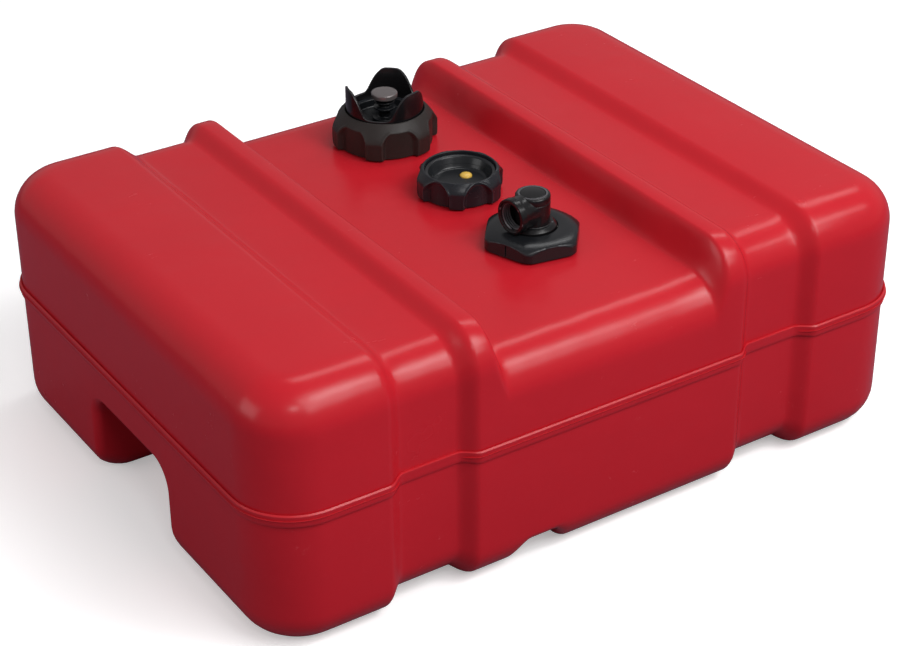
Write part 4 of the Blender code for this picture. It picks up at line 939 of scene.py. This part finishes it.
def elbow_upright():
    """The elbow's flange, stepped boss and grooved upright."""
    stem, flange, boss, cone, upright, groove = 0.0095, 0.0286, 0.0195, 0.0168, 0.0143, 0.0139
    low, flange_low, flange_top, boss_top, cone_top, top = 0.1889, 0.2049, 0.2064, 0.2117, 0.2139, 0.2392
    groove_edges = (0.2322, 0.2325, 0.2331, 0.2334)
    outline = [(0, low), (stem, low, 0.0008), (stem, flange_low), (flange, flange_low), (flange, flange_top)]
    outline += [(boss, flange_top, 0.0005), (boss, boss_top, 0.0006), (cone, cone_top, 0.0006)]
    outline += [(upright, cone_top, 0.0008), (upright, groove_edges[0], 0.0003), (groove, groove_edges[1])]
    outline += [(groove, groove_edges[2]), (upright, groove_edges[3], 0.0003)]
    outline += [(upright, top, 0.0022), (0, top)]
    return turned_piece("swivel_elbow", PICKUP, rounded(outline), 128)


def side_port():
    """The elbow's port, the duct that runs on from it, and the thread inside its mouth."""
    root, wall, collar, edge, bevel, mouth = 0.0139, 0.0143, 0.0149, 0.0142, 0.0129, 0.0121
    socket, socket_end = 0.0114, 0.0115
    wall_end, collar_start, collar_end, end, inset_end = 0.0170, 0.0190, 0.0240, 0.0247, 0.0238
    duct, duct_length = 0.006, 0.013
    height, turn = 0.2255, math.radians(-172)
    origin = (0, 0)
    outline = [(0, 0), (root, 0), (wall, wall_end), (collar, collar_start, 0.0006)]
    outline += [(collar, collar_end, 0.0006), (edge, end, 0.0003), (bevel, end, 0.0002)]
    outline += [(mouth, inset_end, 0.0002), (socket, inset_end), (socket, socket_end), (0, socket_end)]
    port = turned_piece("port", origin, rounded(outline), 96)
    outline = ((0, 0), (duct, 0), (duct, duct_length), (0, duct_length))
    bore = turned_piece("port_bore", origin, outline, 48)
    thread = threaded("port_thread", origin, root=0.0116, crest=0.0104, low=0.0135, pitch=0.0022, turns=4)
    aim = Matrix.Rotation(turn, 4, "Z") @ Matrix.Rotation(math.pi / 2, 4, "Y")
    for part in (port, bore, thread):
        part.matrix_world = Matrix.Translation((*PICKUP, height)) @ aim
        keep_in_mesh(part)
    return port, bore, thread


def swivel_elbow():
    """The elbow: the upright and the side port in one, bored out, with the port's thread."""
    well, well_low, seat, seat_low, high = 0.0072, 0.18, 0.0107, 0.2362, 0.245
    piece = elbow_upright()
    port, bore, thread = side_port()
    combine(piece, port, "UNION")
    combine(piece, bore, "DIFFERENCE")
    outline = ((0, well_low), (well, well_low), (well, seat_low), (seat, seat_low), (seat, high), (0, high))
    combine(piece, turned_piece("upright_bore", PICKUP, outline, 64), "DIFFERENCE")
    settle(piece, "pickup_elbow", "pickup", "glossy_black_plastic")
    settle(thread, None, "pickup", "glossy_black_plastic", 60)


def upright_plug():
    """The round plug in the top of the upright, with a faintly domed face."""
    shank, head = 0.007, 0.0104
    low, head_low, edge, top = 0.2335, 0.2365, 0.2392, 0.2399
    outline = [(0, low), (shank, low, 0.0004), (shank, head_low), (head, head_low), (head, edge, 0.0008)]
    outline += [(0, top)]
    piece = turned_piece("upright_plug", PICKUP, rounded(outline), 96)
    settle(piece, "pickup_top_cap", "pickup", "glossy_black_plastic", 50)


six_sided_collar()
swivel_elbow()
upright_plug()


# Springs


def coil_spring(solid, body, joint, turns):
    """A coil of wire wound up in its solid's place and named after its joint."""
    wire = 0.0008
    sides = 16
    low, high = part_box(solid)
    middle = ((low.x + high.x) / 2, (low.y + high.y) / 2)
    length = high.z - low.z
    start = ((high.x - low.x - wire) / 2, 0, low.z + wire / 2)
    bpy.ops.object.select_all(action="DESELECT")
    bpy.ops.mesh.primitive_circle_add(
        vertices=sides, radius=wire / 2, location=start, rotation=(math.pi / 2, 0, 0)
    )
    spring = bpy.context.object
    spring.name = f"{joint}_coil"
    keep_in_mesh(spring)
    wind_up(spring, turns, length - wire, STEPS_PER_TURN * turns, sides)
    set_on_axis(spring, middle)
    settle(spring, solid, body, "spring_steel", 60)
    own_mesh(spring)


coil_spring("vent_valve_spring", "filler_cap", "vent_valve_slide", turns=3)
coil_spring("check_spring", "pickup", "check_ball_lift", turns=5)


# Finishes


def socket_of(made, name):
    """The input of that name, with _ for a space, or of that number after an i."""
    if name[0] == "i" and name[1:].isdigit():
        return made.inputs[int(name[1:])]
    return made.inputs[name.replace("_", " ")]


def node(tree, kind, **values):
    """Adds a node. Its settings and its sockets' values or links are given as keywords."""
    made = tree.nodes.new(kind)
    for name, value in values.items():
        if hasattr(made, name):
            setattr(made, name, value)
        elif isinstance(value, bpy.types.NodeSocket):
            tree.links.new(value, socket_of(made, name))
        else:
            socket_of(made, name).default_value = value
    return made


# Inputs of the skin. The edge input paints sharp edges paler, partly as wear and partly as a painted
# highlight.
SKIN_COLOURS = ("Drift", "Paleness")
SKIN_GLOSS = ("Roughness", "Roughness drift")
SKIN_RELIEF = ("Grain scale", "Grain depth", "Wave scale", "Wave depth")
SKIN_WEAR_AND_HIGHLIGHT = ("Scuffs", "Worn edge")


def skin_group():
    """A moulded or drawn skin: colour that drifts, fine grain, slow waves, scuffs, and sharp edges painted
    paler, partly as wear and partly as a painted highlight. It gives a colour, a roughness and a normal."""
    tree = bpy.data.node_groups.new("moulded_skin", "ShaderNodeTree")
    face = tree.interface
    face.new_socket("Place", in_out="INPUT", socket_type="NodeSocketVector")
    face.new_socket("Colour", in_out="INPUT", socket_type="NodeSocketColor")
    for name in SKIN_COLOURS + SKIN_GLOSS + SKIN_RELIEF + SKIN_WEAR_AND_HIGHLIGHT:
        face.new_socket(name, in_out="INPUT", socket_type="NodeSocketFloat")
    face.new_socket("Colour", in_out="OUTPUT", socket_type="NodeSocketColor")
    face.new_socket("Roughness", in_out="OUTPUT", socket_type="NodeSocketFloat")
    face.new_socket("Normal", in_out="OUTPUT", socket_type="NodeSocketVector")
    given = tree.nodes.new("NodeGroupInput").outputs
    place = given["Place"]

    def arithmetic(kind, a, b, clamp=False):
        return node(tree, "ShaderNodeMath", operation=kind, use_clamp=clamp, i0=a, i1=b).outputs[0]

    def noise(where, scale, detail, roughness=0.5):
        made = node(tree, "ShaderNodeTexNoise", Vector=where, Scale=scale, Detail=detail, Roughness=roughness)
        return made.outputs["Fac"]

    def ramp(value, low, high):
        return node(tree, "ShaderNodeMapRange", Value=value, From_Min=low, From_Max=high).outputs[0]

    def toned(colour, saturation, value):
        made = node(
            tree, "ShaderNodeHueSaturation", Hue=0.5, Saturation=saturation, Value=value, Color=colour
        )
        return made.outputs[0]

    def bump(height, distance, **normal):
        made = node(tree, "ShaderNodeBump", Strength=1.0, Distance=distance, Height=height, **normal)
        return made.outputs[0]

    cloud = noise(place, 9.0, 4.0, 0.55)
    cloud_away = arithmetic("SUBTRACT", cloud, 0.5)
    speck_away = arithmetic("SUBTRACT", noise(place, 240.0, 2.0), 0.5)
    speck_drift = arithmetic("MULTIPLY", given["Drift"], 0.4)
    drift = arithmetic("MULTIPLY", cloud_away, given["Drift"])
    drift = arithmetic("ADD", drift, arithmetic("MULTIPLY", speck_away, speck_drift))
    tinted = toned(given["Colour"], 1.0, arithmetic("ADD", drift, 1.0))

    stretched = node(tree, "ShaderNodeVectorMath", operation="MULTIPLY", i0=place, i1=(1.0, 3.0, 1.6))
    marks = ramp(noise(stretched.outputs[0], 60.0, 6.0, 0.7), 0.62, 0.72)
    where = ramp(noise(place, 14.0, 2.0), 0.5, 0.7)
    scuff = arithmetic("MULTIPLY", arithmetic("MULTIPLY", marks, where), given["Scuffs"])
    pale = toned(tinted, 0.8, given["Paleness"])
    # Scuffs and sharp edges are painted paler; on the edges this is partly wear and partly a painted
    # highlight.
    amount = arithmetic("ADD", arithmetic("MULTIPLY", scuff, 0.5), given["Worn edge"], True)
    colour = node(tree, "ShaderNodeMix", data_type="RGBA", i0=amount, i6=tinted, i7=pale)

    rough = arithmetic("MULTIPLY", cloud_away, given["Roughness drift"])
    rough = arithmetic("ADD", rough, given["Roughness"])
    rough = arithmetic("ADD", rough, arithmetic("MULTIPLY", scuff, 0.25), True)

    waves = bump(noise(place, given["Wave scale"], 1.0), given["Wave depth"])
    grains = bump(noise(place, given["Grain scale"], 3.0), given["Grain depth"], Normal=waves)
    result = tree.nodes.new("NodeGroupOutput")
    tree.links.new(colour.outputs[2], result.inputs["Colour"])
    tree.links.new(rough, result.inputs["Roughness"])
    tree.links.new(grains, result.inputs["Normal"])
    return tree


SKIN = skin_group()


def finish(
    name,
    colour,
    roughness,
    grain=(900.0, 0.00004),
    wave=(30.0, 0.0),
    drift=0.12,
    scuffs=0.3,
    edge=0.25,
    pale=1.45,
    **shader,
):
    """A finish for one kind of plastic or metal. Grain and wave are each a scale and a depth. Edge is how far
    sharp edges are painted paler, partly as wear and partly as a painted highlight, and pale is how pale
    scuffs and such edges turn.
    """
    made = bpy.data.materials.new(name)
    made.use_nodes = True
    made.diffuse_color = (*colour, 1)
    tree = made.node_tree
    tree.nodes.clear()
    place = tree.nodes.new("ShaderNodeTexCoord").outputs["Object"]
    point = tree.nodes.new("ShaderNodeNewGeometry").outputs["Pointiness"]
    # Sharp edges, found by pointiness, are painted paler: partly wear, partly a painted highlight.
    edge_wear_and_highlight = node(tree, "ShaderNodeMapRange", Value=point, From_Min=0.53, From_Max=0.62, To_Max=edge).outputs[0]
    group = tree.nodes.new("ShaderNodeGroup")
    group.node_tree = SKIN
    values = {"Colour": (*colour, 1), "Drift": drift, "Roughness": roughness, "Roughness drift": 0.12}
    values.update(zip(SKIN_RELIEF, (*grain, *wave)))
    values.update({"Scuffs": scuffs, "Paleness": pale})
    for socket, value in values.items():
        group.inputs[socket].default_value = value
    tree.links.new(place, group.inputs["Place"])
    tree.links.new(edge_wear_and_highlight, group.inputs["Worn edge"])
    made_shader = node(tree, "ShaderNodeBsdfPrincipled", **shader)
    for output, socket in (("Colour", "Base Color"), ("Roughness", "Roughness"), ("Normal", "Normal")):
        tree.links.new(group.outputs[output], made_shader.inputs[socket])
    surface = tree.nodes.new("ShaderNodeOutputMaterial").inputs["Surface"]
    tree.links.new(made_shader.outputs[0], surface)
    return made


# Each finish's edge paints sharp edges paler, partly as wear and partly as a painted highlight; on the black
# plastics, with their high pale, that painted highlight is strong.
FINISHES = {
    "red_plastic": finish(
        "red_polyethylene",
        (0.515, 0.012, 0.021),
        0.25,
        (1400.0, 0.00002),
        (38.0, 0.0005),
        drift=0.10,
        scuffs=0.25,
        edge=0.10,
        Specular_IOR_Level=0.28,
    ),
    "warm_black_plastic": finish(
        "matte_warm_black_plastic",
        (0.018, 0.014, 0.0125),
        0.46,
        (1100.0, 0.00022),
        drift=0.6,
        scuffs=0.7,
        edge=0.9,
        pale=7.0,
        Specular_IOR_Level=0.30,
    ),
    "glossy_black_plastic": finish(
        "glossy_black_plastic",
        (0.0055, 0.0052, 0.0058),
        0.24,
        (500.0, 0.00001),
        drift=0.15,
        scuffs=0.2,
        edge=0.9,
        pale=18.0,
        Specular_IOR_Level=0.32,
    ),
    "black_plastic": finish(
        "satin_black_plastic",
        (0.009, 0.0098, 0.0115),
        0.26,
        (900.0, 0.00003),
        drift=0.25,
        scuffs=0.35,
        edge=0.9,
        pale=9.0,
        Specular_IOR_Level=0.34,
    ),
    "blue_black_plastic": finish(
        "blue_black_plastic",
        (0.010, 0.0112, 0.0145),
        0.27,
        (900.0, 0.00005),
        drift=0.25,
        scuffs=0.4,
        edge=0.9,
        pale=9.0,
        Specular_IOR_Level=0.34,
    ),
    "grey_plastic": finish(
        "polished_grey_plastic",
        (0.150, 0.132, 0.132),
        0.16,
        (600.0, 0.00002),
        drift=0.3,
        scuffs=0.4,
        edge=0.5,
        pale=2.5,
        Metallic=0.35,
    ),
    "white_plastic": finish("natural_nylon", (0.62, 0.60, 0.54), 0.42, drift=0.1),
    "seal_rubber": finish("nitrile_rubber", (0.012, 0.012, 0.012), 0.68, (700.0, 0.00008), drift=0.3),
    "clear_lens": finish(
        "amber_window",
        (0.95, 0.62, 0.11),
        0.08,
        (300.0, 0.000004),
        drift=0.05,
        scuffs=0.1,
        edge=0.0,
        Transmission_Weight=0.35,
        IOR=1.49,
    ),
    "yellow_marker": finish("yellow_marker_paint", (0.78, 0.40, 0.015), 0.45, drift=0.1),
    "float_foam": finish("closed_cell_foam", (0.30, 0.22, 0.12), 0.85, (420.0, 0.0006), drift=0.4),
    "strip_steel": finish(
        "strip_steel", (0.52, 0.52, 0.50), 0.32, (1500.0, 0.00001), drift=0.15, Metallic=1.0
    ),
    "spring_steel": finish(
        "spring_steel", (0.42, 0.42, 0.43), 0.26, (1500.0, 0.00001), drift=0.15, Metallic=1.0
    ),
    "seat_brass": finish(
        "turned_brass", (0.62, 0.42, 0.16), 0.28, (1200.0, 0.00001), drift=0.15, Metallic=1.0
    ),
    "filter_mesh": finish("filter_mesh", (0.50, 0.50, 0.46), 0.6, (600.0, 0.0003), drift=0.3),
}
for piece in bpy.data.objects:
    if "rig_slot" in piece:
        piece.data.materials.append(FINISHES[piece["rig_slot"]])
for solid in frame["nodes"].values():
    for seat in solid.material_slots:
        seat.material = FINISHES[seat.material.name.split(".")[0]]


# Floor and studio light

FLOOR_SEEN = (0.95, 0.95, 0.95, 1)
FLOOR_BOUNCE = (0.17, 0.15, 0.20, 1)
FLOOR_GLOW = 0.35
FLOOR_DROP = 0.0005


def pale_floor():
    """The floor. The camera sees it nearly white, while it throws little light back on the part."""
    bpy.ops.object.select_all(action="DESELECT")
    bpy.ops.mesh.primitive_plane_add(size=24, location=(0, 0, -FLOOR_DROP))
    floor = bpy.context.object
    floor.name = "studio_floor"
    keep_in_mesh(floor)
    pale = bpy.data.materials.new("pale_floor")
    pale.use_nodes = True
    tree = pale.node_tree
    paint = tree.nodes["Principled BSDF"]
    paint.inputs["Roughness"].default_value = 0.8
    paint.inputs["Specular IOR Level"].default_value = 0.1
    paint.inputs["Emission Color"].default_value = (1, 1, 1, 1)
    seen = tree.nodes.new("ShaderNodeLightPath").outputs["Is Camera Ray"]
    tone = node(tree, "ShaderNodeMix", data_type="RGBA", i0=seen, i6=FLOOR_BOUNCE, i7=FLOOR_SEEN)
    glow = node(tree, "ShaderNodeMath", operation="MULTIPLY", i0=seen, i1=FLOOR_GLOW)
    tree.links.new(tone.outputs[2], paint.inputs["Base Color"])
    tree.links.new(glow.outputs[0], paint.inputs["Emission Strength"])
    floor.data.materials.append(pale)


def softbox(name, place, target, width, height, watts):
    """A rectangular area light that faces the target."""
    data = bpy.data.lights.new(name, "AREA")
    data.shape = "RECTANGLE"
    data.size = width
    data.size_y = height
    data.energy = watts
    lamp = bpy.data.objects.new(name, data)
    bpy.context.collection.objects.link(lamp)
    aim = (Vector(place) - Vector(target)).to_track_quat("Z", "Y")
    lamp.matrix_world = Matrix.Translation(place) @ aim.to_matrix().to_4x4()


pale_floor()
world = bpy.data.worlds.new("studio")
world.use_nodes = True
sky = world.node_tree.nodes["Background"]
sky.inputs["Color"].default_value = (1, 0.98, 1, 1)
sky.inputs["Strength"].default_value = 0.35
bpy.context.scene.world = world
bpy.context.scene.view_settings.view_transform = "Standard"

softbox("key_softbox", (0.6, -1.9, 2.2), (0, 0, 0.1), 1.8, 1.8, 45)
softbox("front_strip", (1.15, -1.24, 1.8), (1.15, -0.2, 0.2), 1.7, 0.30, 9.5)
softbox("upper_strip", (1.0, 0.43, 1.8), (1.0, -0.2, 0.2), 1.7, 0.30, 8)
softbox("left_fill", (-2.4, 0.4, 1.0), (-0.3, 0, 0.1), 1.4, 1.0, 9)
softbox("left_window", (-0.75, -1.6, 1.7), (-0.2, -0.2, 0.2), 0.36, 0.26, 4.0)
softbox("strip_end", (0.66, -1.24, 1.8), (0.66, -0.2, 0.2), 0.34, 0.26, 3.4)


# Camera

CAMERA_PLACE = Vector((-0.8897, -1.3613, 1.0498))
CAMERA_BACK = Vector((-0.4714, -0.7187, 0.5112)).normalized()
CAMERA_ROLL = math.radians(-0.343)

camera_data = bpy.data.cameras.new("camera")
camera_data.sensor_width = 36.0
camera_data.lens = 87.62
camera_data.clip_start = 0.05
camera_data.clip_end = 20
camera = bpy.data.objects.new("camera", camera_data)
bpy.context.collection.objects.link(camera)
right = Vector((0, 0, 1)).cross(CAMERA_BACK).normalized()
up = CAMERA_BACK.cross(right)
view = Matrix((right, up, CAMERA_BACK)).transposed().to_4x4()
camera.matrix_world = Matrix.Translation(CAMERA_PLACE) @ view @ Matrix.Rotation(CAMERA_ROLL, 4, "Z")
bpy.context.scene.camera = camera
